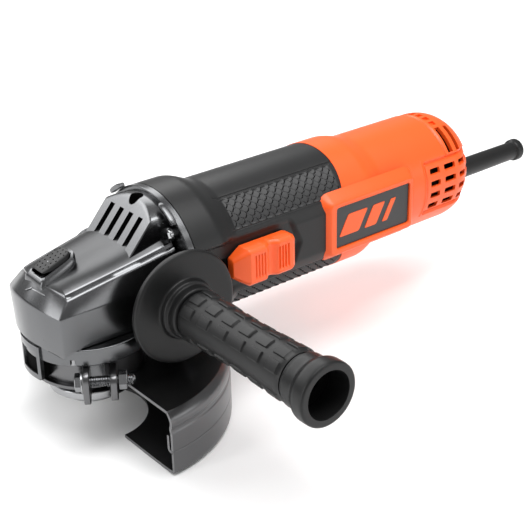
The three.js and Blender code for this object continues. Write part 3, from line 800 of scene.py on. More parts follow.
    def cleat(self, side: int, centre: float = 33.0, radius: float = 37.3, width: float = 1.6,
              height: float = 1.2) -> np.ndarray:
        """A bar bent round the flange: a rounded box section carried along an arc.

        Args:
            side: -1 or 1, which side of the top.
            centre: degrees from the top.
            radius: radius of the bar's middle.
            width: half width along X.
            height: half height outwards.

        Returns:
            Grid of closed rows.
        """
        angles = np.radians(side * (centre + np.linspace(-9.5, 9.5, 16)))
        taper = 1 - 0.45 * np.abs(np.linspace(-1, 1, 16)) ** 6
        section = rounded_box((2 * width, 2 * height), 0.6)
        rows = []
        for a, s in zip(angles, taper):
            r = radius + section[:, 1] * s
            rows.append(np.stack([33.2 + section[:, 0] * s, r * math.sin(a), MOTOR_Z + r * math.cos(a)], 1))
        return np.array(rows)

    def bosses(self) -> None:
        """Round bosses with threaded holes for the side handle, one on each side."""
        for name, axis in (("left_boss", Axis.MINUS_Y), ("right_boss", Axis.Y)):
            keys = np.array([[4.3, 18], [15, 18], [13.2, 26], [12, 30], [12, self.boss_y],
                             [4.3, self.boss_y]])
            profile = soften(keys, [0, 0.1, 0.4, 0.4, 0.1, 0.06], 4, closed=True)
            Shell().turned(profile, axis, (HANDLE_X, 0, HANDLE_Z), 72).object(
                name, "housing", "casting", [Finishes.CASTING], 32)

    def bezel(self) -> None:
        """Raised ring round the lock button: six outlines on sloping planes, joined in a loop."""
        rows = []
        for grow, rise in ((3.0, -4.0), (2.7, -1.4), (2.0, -0.2), (0.9, 0.2), (0.35, 0.0), (0.3, -4.0)):
            flat = SpindleLock.outline(grow)
            plane = self.bezel_z + SpindleLock.slope * (flat[:, 0] - SpindleLock.centre_x)
            rows.append(np.stack([flat[:, 0], flat[:, 1], plane + rise], 1))
        Shell().skin(np.array(rows), wrap_rows=True).object(
            "button_bezel", "housing", "casting", [Finishes.CASTING], 30)

    @staticmethod
    def bar(keys: np.ndarray, radius: float) -> np.ndarray:
        """A round bar between two points, with domed ends.

        Over an end the radius grows as sin q and the place along the bar as 1 - cos q.

        Args:
            keys: its two end points.
            radius: its radius.

        Returns:
            Grid of closed rows.
        """
        along = keys[1] - keys[0]
        side = np.cross(along, (0, 0, 1.0))
        side /= np.linalg.norm(side)
        up = np.cross(side, along / np.linalg.norm(along))
        q = np.linspace(0.3, math.pi / 2, 5)
        start = 0.03 * (1 - np.cos(q))
        t = np.concatenate([start, 1 - start[::-1]])[:, None, None]
        reach = radius * np.concatenate([np.sin(q), np.sin(q)[::-1]])[:, None, None]
        a = np.linspace(0, TAU, 12, endpoint=False)[None, :, None]
        return keys[0] + t * along + reach * (np.cos(a) * side + np.sin(a) * up)

    def cover(self) -> None:
        """Gear cover with its screw wells, the neck that carries the guard and the front window."""
        keys = np.array([[14, 14], [22, 14], [22, 30], [29.6, 30], [29.6, 38.2], [16.3, 38.2], [16.3, 19.7],
                         [14, 19.7]])
        profile = soften(keys, [0.1, 0.1, 0.05, 0.12, 0.05, 0.02, 0.02, 0.05], 4, closed=True)
        tool = Shell()
        for k in range(4):
            a = math.radians(45 + 90 * k)
            tool.turned(np.array([[0, 29], [3.2, 29], [3.2, 33.4], [0, 33.4]]), Axis.Z,
                        (26.6 * math.cos(a), 26.6 * math.sin(a), 0), 24)
        # The screw wells' cut faces take the near-black painted shade.
        Shell().turned(profile, Axis.Z, segments=128).object(
            "gear_cover_shell", "housing", "casting", [Finishes.CASTING, Finishes.PAINTED_SHADE], 32,
            replaces=["gear_cover"], cut=tool)
        sides = Shell()
        for a0, a1, z0, z1 in ((158, 165.5, 20.5, 37.0), (190, 194, 20.5, 37.0), (160, 192, 33.5, 37.0),
                               (160, 192, 20.0, 22.5)):
            section = np.array([[28.6, z0], [30.6, z0], [30.6, z1], [28.6, z1]])
            sides.skin(swept(soften(section, 0.08, 2, closed=True), np.radians(np.linspace(a0, a1, 10))))
        sides.object("window_frame", "housing", "casting", [Finishes.CASTING], 32)
        # Painted shade: a near-black sheet behind the window opening, where the cover's inside lies in
        # shade.
        dark = np.array([[22.5, 20.2], [29.0, 20.2], [29.0, 36.8], [22.5, 36.8]])
        Shell().skin(swept(dark, np.radians(np.linspace(160, 192, 12)))).object(
            "window_inside", "housing", "casting", [Finishes.PAINTED_SHADE], 32)

    def mark(self) -> None:
        """Small raised corner mark on the front slope, made of two bars."""
        shell = Shell()
        for ends in (((-28.3, 1.2, 61.9), (-26.6, -2.0, 63.6)),
                     ((-26.9, -2.4, 63.2), (-25.0, -10.2, 62.4))):
            shell.skin(self.bar(np.array(ends), 0.28))
        shell.object("front_mark", "housing", "casting", [Finishes.STEEL], 30)


@dataclass
class SpindleLock:
    """Lock button on the gear case."""

    slope: float = 0.376
    top: float = 72.7
    centre_x: float = -15.5
    skirt_z: float = 69.8
    dimple_pitch: tuple[float, float] = (1.95, 2.5)
    glint_x: float = -16.7
    pin_x: float = -12.0
    spring_z: tuple[float, float] = (66.65, 69.05)
    seat_z: float = 66.2
    coil_r: float = 2.9
    wire_r: float = 0.38

    @staticmethod
    def outline(grow: float) -> np.ndarray:
        """Six-sided outline of the lock button, with soft corners.

        Args:
            grow: distance outwards from the button's own outline.

        Returns:
            Closed outline of (x, y) points.
        """
        g = grow
        keys = np.array([[-22.3 - g, -5 - g], [-9.5 + 0.6 * g, -5 - g], [-7.2 + g, -2.6], [-7.2 + g, 2.6],
                         [-9.5 + 0.6 * g, 5 + g], [-22.3 - g, 5 + g]])
        return soften(keys, [0.12, 0.3, 0.3, 0.3, 0.3, 0.12], 4, closed=True)

    def face(self, x: Any) -> Any:
        """Height of the button's sloping face at x."""
        return self.top + self.slope * (x - self.centre_x)

    def build(self) -> None:
        """The button, its dimples, a painted highlight as a small steel dome on its face, and the spring
        under it.
        """
        rows = []
        for height, inset in ((-99.0, 0.0), (-0.7, 0.0), (-0.2, 0.2), (0.0, 0.7)):
            flat = self.outline(-inset)
            plane = self.face(flat[:, 0]) + height
            rows.append(np.stack([flat[:, 0], flat[:, 1], np.maximum(plane, self.skirt_z)], 1))
        recess = np.array([[0, 69.0], [3.8, 69.0], [3.8, 71.0], [0, 71.0]])
        hollows = self.dimples().turned(recess, Axis.Z, (self.pin_x, 0, 0), 32)
        # The dimples and the pin recess take the near-black painted shade.
        Shell().skin(np.array(rows)).object(
            "lock_button_cap", "lock", "black_plastic", [Finishes.BLACK, Finishes.PAINTED_SHADE], 30,
            replaces=["lock_button"], cut=hollows)
        # Painted highlight: a small bright steel dome on the black button's face.
        glint = np.array([[0, -0.4], [0.42, -0.4], [0.34, 0.12], [0, 0.2]])
        Shell().turned(glint, Axis.Z, (self.glint_x, 0, self.face(self.glint_x)), 20).object(
            "lock_button_dot", "lock", "black_plastic", [Finishes.STEEL], 60)
        self.spring()

    def dimples(self) -> Shell:
        """Small cones that cut the dimples: seven rows across, in turn three and four of them.

        Returns:
            Shell with every cone.
        """
        cone = np.array([[0, -0.5], [0.32, -0.5], [0.45, 0.3], [0, 0.3]])
        along, across = self.dimple_pitch
        cones = Shell()
        for i in range(7):
            x = -20.6 + along * i
            for j in range(4 if i % 2 else 3):
                y = (j - (1.5 if i % 2 else 1.0)) * across
                cones.turned(cone, Axis.Z, (x, y, self.face(x)), 10)
        return cones

    def spring(self) -> None:
        """Coil under the button.

        The wire's middle runs at (R cos a, R sin a, z0 + (z1 - z0) a / A) over A = 2.5 turns, and each
        section is an upright circle across it.
        """
        a = np.linspace(0, 2.5 * TAU, 120)[:, None]
        b = np.linspace(0, TAU, 10, endpoint=False)[None, :]
        low, high = self.spring_z
        r = self.coil_r + self.wire_r * np.cos(b)
        z = low + (high - low) * a / a.max() + self.wire_r * np.sin(b)
        grid = np.stack([self.pin_x + r * np.cos(a), r * np.sin(a), z], 2)
        coil = Shell().skin(grid).object("lock_spring_coil", "housing", "steel", [Finishes.STEEL], 60,
                                         replaces=["lock_spring"])
        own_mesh(coil)


# ---- motor housing --------------------------------------------------------------------------
@dataclass
class MotorHousing:
    """Black housing: a tube with side flats, a switch recess and scaled grip panels."""

    start: float = CASE_END + 0.3
    end: float = 134.0
    wall: float = 2.5
    panel_x: tuple[float, float] = (64.5, 129.0)
    panel_turn: tuple[tuple[float, float], ...] = ((30.0, 60.0), (118.0, 150.0))
    scale_pitch: float = 4.8
    scale_row: float = 2.5
    scale_r: float = 1.9
    scale_height: float = 0.8
    recess: float = 0.55
    seam_turn: float = 28.4
    seam_depth: float = 0.45
    switch_floor: float = -28.4

    def radius(self, x: np.ndarray, a: np.ndarray) -> np.ndarray:
        """Outside radius before detail.

        A smooth step runs from the flange radius to the body radius; past it the sides are cut by flats:
        r = min(r, flat / |sin a|), with a counted from the top.

        Args:
            x: places along the body.
            a: angles round it, in radians.

        Returns:
            Radii over x and a.
        """
        shoulder = FLANGE_R + (BODY_R - FLANGE_R) * smoothstep(x, 52.0, 66.0)
        flat = FLAT_Y + 9.0 * (1 - smoothstep(x, 52.0, 63.0))
        return np.minimum(shoulder, flat / np.maximum(np.abs(np.sin(a)), 1e-3))

    def scales(self, x: np.ndarray, arc: np.ndarray) -> np.ndarray:
        """Height of the grip scales: staggered round cells that each rise towards +X and drop at their rim.

        Args:
            x: places along the body.
            arc: distances round it from the top.

        Returns:
            Heights from 0 to 1.
        """
        height = np.zeros(x.shape)
        for shift in (0.0, 0.5):
            row = np.round(arc / (2 * self.scale_row) - shift) + shift
            for ahead in (-0.5, 0.5):
                column = np.round(x / self.scale_pitch - shift + ahead) + shift - ahead
                dx, dy = x - column * self.scale_pitch, arc - row * 2 * self.scale_row
                inside = np.hypot(dx, dy) < self.scale_r
                height = np.maximum(height, inside * (0.35 + 0.65 * dx / self.scale_r))
        return height

    def panel_mask(self, x: np.ndarray, a: np.ndarray) -> np.ndarray:
        """Share of the grip panels' depth, on either side of the body.

        Args:
            x: places along the body.
            a: angles from the top, negative on one side.

        Returns:
            1 inside a panel, 0 outside and a smooth step at its edge.
        """
        turn = np.degrees(np.abs(a))
        start, end = self.panel_x
        mask = np.zeros(np.broadcast_shapes(x.shape, a.shape))
        for low, high in self.panel_turn:
            inside = smoothstep(turn, low + 0.7, low + 1.7) * (1 - smoothstep(turn, high - 1.7, high - 0.7))
            length = inside * smoothstep(x, start, start + 1) * (1 - smoothstep(x, end, end + 1))
            mask = np.maximum(mask, length)
        return mask

    def lines(self) -> tuple[np.ndarray, np.ndarray]:
        """Places of the grid lines, closer together in the grip panels.

        Returns:
            Places along X, and angles round the body.
        """
        along = np.concatenate([np.arange(self.start, self.panel_x[0], 0.8), np.arange(*self.panel_x, 0.36),
                                np.linspace(self.panel_x[1], self.end, 8)])
        edges = [0.0]
        for low, high, fine in ((27.0, 61.0, 0.66), (61.0, 117.0, 1.4), (117.0, 151.0, 0.66)):
            edges += list(np.arange(edges[-1] + 2.5, low, 2.5)) + list(np.arange(low, high, fine))
        edges += list(np.arange(153.5, 180, 2.5))
        near = np.radians(np.array(edges))
        around = np.concatenate([near, [math.pi], (TAU - near[1:])[::-1]])
        return along, around

    def build(self) -> None:
        """The housing shell, and a plate of painted shade in its switch slot."""
        along, around = self.lines()
        x, a = along[:, None], around[None, :]
        turn = np.where(a > math.pi, a - TAU, a)
        mask = self.panel_mask(x, turn)
        scales = self.scales(x + 0 * a, np.abs(turn) * BODY_R + 0 * x)
        r = self.radius(x, a) + 0 * a - self.seam_depth * self.seams(x, turn)
        r = r + mask * (self.scale_height * scales - self.recess)
        z = r * np.cos(a)
        y = self.switch_recess(x, -r * np.sin(a), z)
        outer = np.stack([x + 0 * a, y, MOTOR_Z + z], 2)
        inner_r = np.minimum(r.min(0) - 0.2, self.radius(np.array(100.0), a[0])) - self.wall
        bore = np.stack([-inner_r * np.sin(a[0]), MOTOR_Z + inner_r * np.cos(a[0])], 1)
        inner = np.stack([np.insert(bore, 0, place, axis=1) for place in (self.end, self.start)])
        shadow = np.diff(scales, axis=0, append=0) < -0.28
        shadow[1:] |= shadow[:-1]
        finish = np.zeros((len(outer) + len(inner), len(around)), int)
        finish[:len(outer)] = mask > 0.5
        finish[:len(outer)][shadow & (mask > 0.6)] = 2
        Shell().skin(np.concatenate([outer, inner]), wrap_rows=True, finish=finish.ravel()).object(
            "motor_housing_shell", "housing", "black_plastic",
            [Finishes.BLACK, Finishes.TEXTURE, Finishes.PAINTED_SHADE], 28, replaces=["motor_housing"])
        # Painted shade: a near-black plate in the slot ahead of the slider.
        track = rounded_box((17.5, 9), 1.0)
        Shell().plate(track, [(28.0, 0), (28.6, 0), (28.7, 0.2)], Axis.MINUS_Y, (57.5, 0, MOTOR_Z)).object(
            "switch_track", "housing", "black_plastic", [Finishes.PAINTED_SHADE], 30)

    def seams(self, x: np.ndarray, turn: np.ndarray) -> np.ndarray:
        """Grooves beside the panels: exp(-((turn - edge) / 0.5) ^ 2) for each edge, in degrees.

        Args:
            x: places along the body.
            turn: angles from the top, in radians.

        Returns:
            Share of the seam depth.
        """
        degrees = np.degrees(np.abs(turn))
        groove = np.exp(-((degrees - self.seam_turn) / 0.5) ** 2) * smoothstep(x, 60, 62)
        for edge in np.ravel(self.panel_turn):
            beside = 0.7 * np.exp(-((degrees - edge) / 0.5) ** 2)
            groove = np.maximum(groove, beside * smoothstep(x, 62, 64))
        return groove

    def switch_recess(self, x: np.ndarray, y: np.ndarray, z: np.ndarray) -> np.ndarray:
        """Presses the flank down to a floor under the slider, with a pointed rear end.

        Args:
            x: places along the body.
            y: places of the surface across it.
            z: heights over the motor axis.

        Returns:
            The new places across the body.
        """
        side = np.abs(z)
        depth = 1 - np.clip((side - 11.2) / 3.6, 0, 1)
        depth = depth * (1 - np.clip((x + 0.45 * (side - 11) - 95.5) / 2.4, 0, 1)) * (y < 0)
        return np.where(y < self.switch_floor, y + (self.switch_floor - y) * depth, y)


# ---- rear housing ---------------------------------------------------------------------------
@dataclass
class RearHousing:
    """Orange rear housing with its badge frames, air slots and ribbed end."""

    start: float = 134.0
    end: float = 232.0
    dome_start: float = 211.5
    dome_reach: float = 22.5
    rear_r: float = 29.1
    rise: float = 0.8
    wall: float = 2.5
    rows: tuple[float, ...] = (-9.6, -3.2, 3.2, 9.6)
    columns: tuple[tuple[float, float], ...] = ((192.5, 199.5), (203.0, 211.0), (214.0, 219.5))
    cap_x: float = 206.0
    badge_at: tuple[float, float, float] = (147.2, 0, MOTOR_Z + 0.8)

    def ring(self, x: np.ndarray, a: np.ndarray) -> tuple[np.ndarray, np.ndarray]:
        """Outside radius and axis height at x, before detail.

        The body radius blends into the rear radius over the step; the end is a dome:
        r = r0 sqrt(1 - ((x - x0) / d) ^ 2.1).

        Args:
            x: places along the body.
            a: angles round it, in radians.

        Returns:
            Radii over x and a, and the axis height over x.
        """
        step = smoothstep(x, 147.0, 160.0)
        r = BODY_R + 0.3 + (self.rear_r - BODY_R - 0.3) * step
        flat = FLAT_Y + 0.3 + 6 * smoothstep(x, 147.0, 158.0)
        r = np.minimum(r, flat / np.maximum(np.abs(np.sin(a)), 1e-3))
        t = np.clip((x - self.dome_start) / self.dome_reach, 0, 0.995)
        r = r * np.sqrt(1 - t ** 2.1)
        return r, MOTOR_Z + self.rise * step

    def build(self) -> None:
        """Builds the shell, its frames and badges."""
        self.shell()
        for side, name in ((-1, "left"), (1, "right")):
            self.frame(side, name)
            self.badge(side, name)

    def relief(self, x: np.ndarray, turn: np.ndarray, z: np.ndarray) -> np.ndarray:
        """Depth of the grooves and recesses.

        They are the seam of the cap, the lower cap behind it, the rim and field of each side grille, the
        grooves that wrap the end and, as a negative depth, a bead in front of the grille.

        Args:
            x: places along the body.
            turn: angles from the top, in radians.
            z: heights over the body's axis.

        Returns:
            Depths over x and turn.
        """
        degrees = np.degrees(np.abs(turn))
        height = np.abs(z)
        on_top = 1 - smoothstep(degrees, 61, 63)
        on_side = (degrees > 55) & (degrees < 125)
        seam = 1.0 * np.exp(-((x - self.cap_x) / 0.6) ** 2) * on_top
        cap = 0.35 * smoothstep(x, self.cap_x, self.cap_x + 1) * on_top
        field = smoothstep(x, 188.4, 189.6) * (1 - smoothstep(height, 13.6, 15.0)) * on_side
        rows = sum(np.exp(-((z - row) / 1.35) ** 4) for row in self.rows)
        ribs = 1.7 * rows * smoothstep(x, 220.0, 222.0) * (degrees > 40)
        bead = -0.5 * np.exp(-((x - 187.6) / 0.5) ** 2) * (1 - smoothstep(height, 14.5, 16.5))
        bead = bead * (degrees > 50)
        rim = np.exp(-((x - 189.2) / 0.55) ** 2) * (height < 14.0)
        rim = np.maximum(rim, np.exp(-((height - 14.0) / 0.6) ** 2) * (x > 189.2)) * on_side
        return seam + cap + 0.8 * rim + field + ribs + bead

    def shell(self) -> None:
        """The shell: an outside and an inside skin joined at the mouth, with the slots cut through."""
        dome_x = self.dome_start + (self.end - self.dome_start) * np.sin(np.linspace(0, math.pi / 2, 44))
        along = np.concatenate([np.arange(self.start, 186.0, 1.0),
                                np.arange(186.0, self.dome_start - 0.1, 0.5), dome_x])
        around = np.linspace(0, TAU, 360, endpoint=False)
        x, a = along[:, None], around[None, :]
        r, axis = self.ring(x, a)
        turn = np.where(a > math.pi, a - TAU, a)
        r = r - self.relief(x, turn, r * np.cos(a))
        lip = 6.5 * np.sin(turn) ** 4 * (1 - smoothstep(x, self.start, 150.0))
        outer = np.stack([x - lip, -r * np.sin(a), axis + r * np.cos(a)], 2)
        pole = np.array([self.end, 0, MOTOR_Z + self.rise])
        end = pole + np.array([0.8, 0.5, 0.2])[:, None, None] * (outer[-1][None] - pole)
        end[:, :, 0] = self.end - np.array([0.25, 0.1, 0.05])[:, None]
        inside_x = np.array([self.end - 5, 222.0, 216.0, 210.0, 160.0, 147.0, self.start + 0.1])[:, None]
        inner_r, inner_axis = self.ring(inside_x, a)
        inner_r = inner_r - self.wall - np.array([3.0, 1.0, 0.4, 0, 0, 0, 0])[:, None]
        inner = np.stack([inside_x + 0 * a, -inner_r * np.sin(a), inner_axis + inner_r * np.cos(a)], 2)
        inner[-1, :, 0] = outer[0, :, 0]
        # The inside skin takes the near-black painted shade, seen through the slots.
        self.join(np.concatenate([outer, end]), inner, pole).object(
            "rear_housing_shell", "housing", "orange_plastic", [Finishes.ORANGE, Finishes.PAINTED_SHADE], 30,
            replaces=["rear_housing"], cut=self.slots(), cut_finish=Finishes.ORANGE)

    @staticmethod
    def join(outside: np.ndarray, inside: np.ndarray, pole: np.ndarray) -> Shell:
        """Joins two skins at the mouth and closes each with a fan at the rear.

        Args:
            outside: grid from the mouth to the rear end.
            inside: grid from the rear end back to the mouth.
            pole: middle of the outer rear end; the inner one is 5 mm before it.

        Returns:
            A closed shell whose inside has material 1, which shell() gives the painted shade.
        """
        rows, cols = outside.shape[:2]
        deep = rows * cols
        points = np.concatenate([outside.reshape(-1, 3), inside.reshape(-1, 3), [pole, pole - (5, 0, 0)]])
        k = np.arange(cols)
        nxt = (k + 1) % cols
        base, mouth = deep - cols, deep + (len(inside) - 1) * cols
        outer_pole, inner_pole = (np.full(cols, len(points) - n) for n in (2, 1))
        quads = [grid_quads(rows, cols, False, True),
                 np.stack([base + k, base + nxt, outer_pole, outer_pole], 1),
                 deep + grid_quads(len(inside), cols, False, True),
                 np.stack([deep + nxt, deep + k, inner_pole, inner_pole], 1),
                 np.stack([mouth + k, mouth + nxt, nxt, k], 1)]
        finish = [np.full(len(q), number) for q, number in zip(quads, (0, 0, 1, 1, 0))]
        return Shell().add(points, np.concatenate(quads), np.concatenate(finish))

    def slots(self) -> Shell:
        """Every opening: side grilles, arc slots on the shoulders, top windows and the sleeve's hole.

        Returns:
            Shell with every cutting tool.
        """
        tool = Shell()
        for side in (-1, 1):
            for row in self.rows:
                for x0, x1 in self.columns:
                    tool.plate(rounded_box((x1 - x0, 3.1), 0.6), [(16, 0), (36, 0)], flank(side),
                               ((x0 + x1) / 2, 0, MOTOR_Z + row))
            for x0, x1 in ((208.2, 211.6), (214.4, 217.2)):
                tool.skin(self.arc_box(x0, x1, side * 27.0, side * 58.0))
        for turn in (-20, -10, 0, 10, 20):
            tool.skin(self.arc_box(208.4, 212.0, turn - 3.0, turn + 3.0, 27.6))
        bore = np.array([[0, 224], [5.6, 224], [5.6, 245], [0, 245]])
        tool.turned(bore, Axis.X, (0, 0, CordSleeve.z), 40)
        return tool

    def arc_box(self, x0: float, x1: float, a0: float, a1: float, low: float = 20.0) -> np.ndarray:
        """A box bent round the body axis.

        Args:
            x0: where it starts along X.
            x1: where it ends along X.
            a0: first angle from the top, in degrees.
            a1: last angle from the top, in degrees.
            low: radius of its inner face; the outer one clears the body.

        Returns:
            Grid of closed rows, one per angle.
        """
        a = np.radians(np.linspace(a0, a1, 14))[:, None]
        x, r = np.array([[x0, low], [x1, low], [x1, 33.0], [x0, 33.0]]).T
        return np.stack([x + 0 * a, -r * np.sin(a), MOTOR_Z + self.rise + r * np.cos(a)], 2)

    def frame(self, side: int, name: str) -> None:
        """Raised orange frame round the badge: its outline steps outwards, over the top and down inside.

        Args:
            side: -1 or 1, which flank it is on.
            name: end of the piece's name.
        """
        outside = rounded_box((55.6, 27.6), 2.6) - np.array([[0.9, 0]])
        inside = rounded_box((49.4, 21.8), 1.4)
        u, v, w = (np.array(d, float) for d in flank(side).value)
        rows = []
        for outline, grow, height in ((outside, 4.0, 27.0), (outside, 1.2, 30.4), (outside, 0.2, 32.4),
                                      (outside, -0.7, 33.0), (inside, 0.5, 33.0), (inside, 0.0, 32.6),
                                      (inside, 0.0, 27.0)):
            flat = offset_outline(outline, -grow)
            rows.append(np.array(self.badge_at) + height * u + flat[:, :1] * v + flat[:, 1:] * w)
        Shell().skin(np.array(rows), wrap_rows=True).object(
            f"badge_frame_{name}", "housing", "orange_plastic", [Finishes.ORANGE], 30)

    def badge(self, side: int, name: str) -> None:
        """Dark inlay with three slanted orange bars.

        Args:
            side: -1 or 1, which flank it is on.
            name: end of the pieces' names.
        """
        place = flank(side)
        Shell().plate(rounded_box((49.2, 21.6), 1.3), [(27.5, 0), (31.6, 0), (31.8, 0.2)], place,
                      self.badge_at).object(f"badge_plate_{name}", "housing", "badge", [Finishes.BADGE], 30,
                                            replaces=[f"badge_{name}"])
        slant, half = 3.0, 5.4
        bars = Shell()
        for width, shift in ((13.0, 0.0), (8.0, 14.2), (3.6, 24.0)):
            left, right = shift - 13.0 - width / 2, shift - 13.0 + width / 2
            outline = np.array([[left - slant, -half], [right - slant, -half], [right + slant, half],
                                [left + slant, half]])
            bars.plate(soften(outline, 0.1, 3, closed=True), [(31.5, 0), (31.95, 0), (32.05, 0.12)], place,
                       self.badge_at)
        bars.object(f"badge_bars_{name}", "housing", "orange_plastic", [Finishes.ORANGE], 30)


# ---- guard and wheel seat -------------------------------------------------------------------
@dataclass
class Guard:
    """Half-round wheel guard: pressed roof and skirt, closing cover, clamp collar and its bolt."""

    sheet: float = 1.5
    bead: float = 0.55
    half_turn: float = 90.0
    clamp_turn: float = -123.0
    bolt_out: float = 31.0
    bolt_z: float = 23.3

    def build(self) -> None:
        """Builds every piece of the guard."""
        self.roof()
        self.cover()
        self.collar()

    def roof(self) -> None:
        """Roof and skirt with its bead, in one sheet."""
        keys = np.array([[23.0, GUARD_ROOF], [61.0, GUARD_ROOF], [GUARD_R, GUARD_ROOF - 3.6],
                         [GUARD_R, 11.0], [GUARD_R - self.bead, 10.2], [GUARD_R - self.bead, 8.6],
                         [GUARD_R, 7.8], [GUARD_R, -1.2]])
        self.pressing(soften(keys, [0, 0.04, 0.45, 0.4, 0.4, 0.4, 0.4, 0], 7), "guard_sheet", "guard")

    def cover(self) -> None:
        """Lower half of the guard: lap behind the skirt, short skirt, flat floor and inner lip."""
        keys = np.array([[61.2, 5.5], [61.2, -1.4], [GUARD_R, -1.5], [GUARD_R, -12.2], [62.2, -14.1],
                         [24.4, -14.1]])
        self.pressing(soften(keys, [0, 0.1, 0.1, 0.2, 0.5, 0], 5), "guard_cover_sheet", "guard_cover")

    def pressing(self, line: np.ndarray, name: str, node: str) -> None:
        """Carries a line round the spindle as a sheet, with bright cut ends and near-black painted shade on
        its inside.

        Args:
            line: outer line of the sheet as (radius, height).
            name: piece name.
            node: frame node the sheet stands for.
        """
        loop = np.concatenate([line, (line - self.inward(line))[::-1]])
        angles = np.radians(np.linspace(-self.half_turn, self.half_turn, 181))
        # The sheet's inner faces get the near-black painted shade.
        inside = (np.arange(len(loop)) >= len(line)).astype(int) * 2
        finish = np.concatenate([np.tile(inside, len(angles) - 1), np.ones(2 * (len(line) - 1), int)])
        strip_ends(Shell(), swept(loop, angles), finish).object(
            name, "guard", "guard_steel", [Finishes.GUARD, Finishes.CUT_EDGE, Finishes.GUARD_SHADE], 34,
            replaces=[node])

    def inward(self, line: np.ndarray) -> np.ndarray:
        """Step from the sheet's inner face to its outer one: one thickness along the line's normal.

        Args:
            line: outer line of the sheet.

        Returns:
            One step per point of the line.
        """
        run = np.gradient(line, axis=0)
        run /= np.linalg.norm(run, axis=1, keepdims=True)
        return self.sheet * np.stack([-run[:, 1], run[:, 0]], 1)

    def clamp_points(self, along: Any, out: Any, z: Any) -> np.ndarray:
        """Points given in the clamp's own directions.

        Args:
            along: distances along the bolt.
            out: distances out from the spindle.
            z: heights.

        Returns:
            Points in the frame, in the shape that the three share.
        """
        a = math.radians(self.clamp_turn)
        outward, tangent = np.array([math.cos(a), math.sin(a), 0]), np.array([-math.sin(a), math.cos(a), 0])
        along, out, z = (np.asarray(value, float)[..., None] for value in (along, out, z))
        return outward * out - tangent * along + np.array([0, 0, 1]) * z

    def clamp_box(self, shell: Shell, x: tuple[float, float], out: tuple[float, float],
                  z: tuple[float, float]) -> None:
        """Adds a soft-edged ear of the clamp.

        Args:
            shell: shell that takes it.
            x: its two places along the bolt.
            out: its nearest and farthest distance from the spindle.
            z: its lowest and highest place.
        """
        flat = soften(np.array([[out[0], z[0]], [out[1], z[0]], [out[1], z[1]], [out[0], z[1]]]),
                      [0.05, 0.3, 0.3, 0.05], 4, closed=True)
        rows = []
        for place, inset in ((x[0], 0.5), (x[0] + 0.3, 0.1), (x[0] + 0.6, 0), (x[1] - 0.6, 0),
                             (x[1] - 0.3, 0.1), (x[1], 0.5)):
            outline = offset_outline(flat, inset)
            rows.append(self.clamp_points(place, outline[:, 0], outline[:, 1]))
        shell.skin(np.array(rows))

    def collar(self) -> None:
        """Collar band with its gap, the two ears, and the bolt and nut that pull them together."""
        gap = np.radians([self.clamp_turn + 17, self.clamp_turn + 360 - 1.0])
        band = np.array([[22.3, 16.5], [24.2, 16.5], [24.2, 29.8], [22.3, 29.8]])
        rim = np.array([[24.0, 16.3], [26.6, 16.3], [26.6, 18.1], [24.0, 18.1]])
        shell = Shell().skin(swept(soften(band, 0.12, 3, closed=True), np.linspace(*gap, 120)))
        shell.skin(swept(soften(rim, 0.2, 3, closed=True), np.linspace(*gap, 120)))
        self.clamp_box(shell, (-0.6, 2.4), (22.8, 37.0), (13.6, 29.6))
        self.clamp_box(shell, (-12.6, -9.4), (22.8, 36.4), (14.5, 27.6))
        shell.object("guard_collar", "guard", "guard_steel", [Finishes.GUARD], 34)
        self.bolt()

    def rod(self, shell: Shell, profile: np.ndarray, sides: int) -> None:
        """Turns a profile about the clamp bolt's line.

        Args:
            shell: shell that takes it.
            profile: radii and places along the bolt.
            sides: steps round; 6 makes a hexagon.
        """
        a = np.linspace(0, TAU, sides, endpoint=False)[None, :]
        radius, place = profile[:, :1], profile[:, 1:]
        out, z = self.bolt_out + radius * np.cos(a), self.bolt_z + radius * np.sin(a)
        shell.skin(self.clamp_points(place, out, z))

    def bolt(self) -> None:
        """Threaded bolt with a washer and a hex head, and its nut."""
        shell = Shell()
        thread = [[1.2, -20.4], [1.7, -20.0]]
        for k in range(22):
            thread += [[2.05, k - 19.8], [2.5, k - 19.3]]
        thread += [[2.05, 2.2], [2.05, 2.5]]
        self.rod(shell, np.array(thread), 32)
        self.rod(shell, np.array([[4.6, 2.4], [4.9, 2.6], [4.9, 3.2], [4.6, 3.4]]), 40)
        self.rod(shell, np.array([[3.7, 3.3], [4.2, 3.6], [4.2, 5.7], [3.6, 6.0]]), 6)
        shell.object("clamp_bolt_threaded", "guard", "steel", [Finishes.STEEL], 30,
                     replaces=["guard_clamp_bolt"])
        nut = Shell()
        self.rod(nut, np.array([[3.8, -16.9], [4.3, -16.6], [4.3, -13.3], [3.8, -13.0]]), 6)
        nut.object("clamp_nut_hex", "guard", "steel", [Finishes.STEEL], 30, replaces=["guard_clamp_nut"])


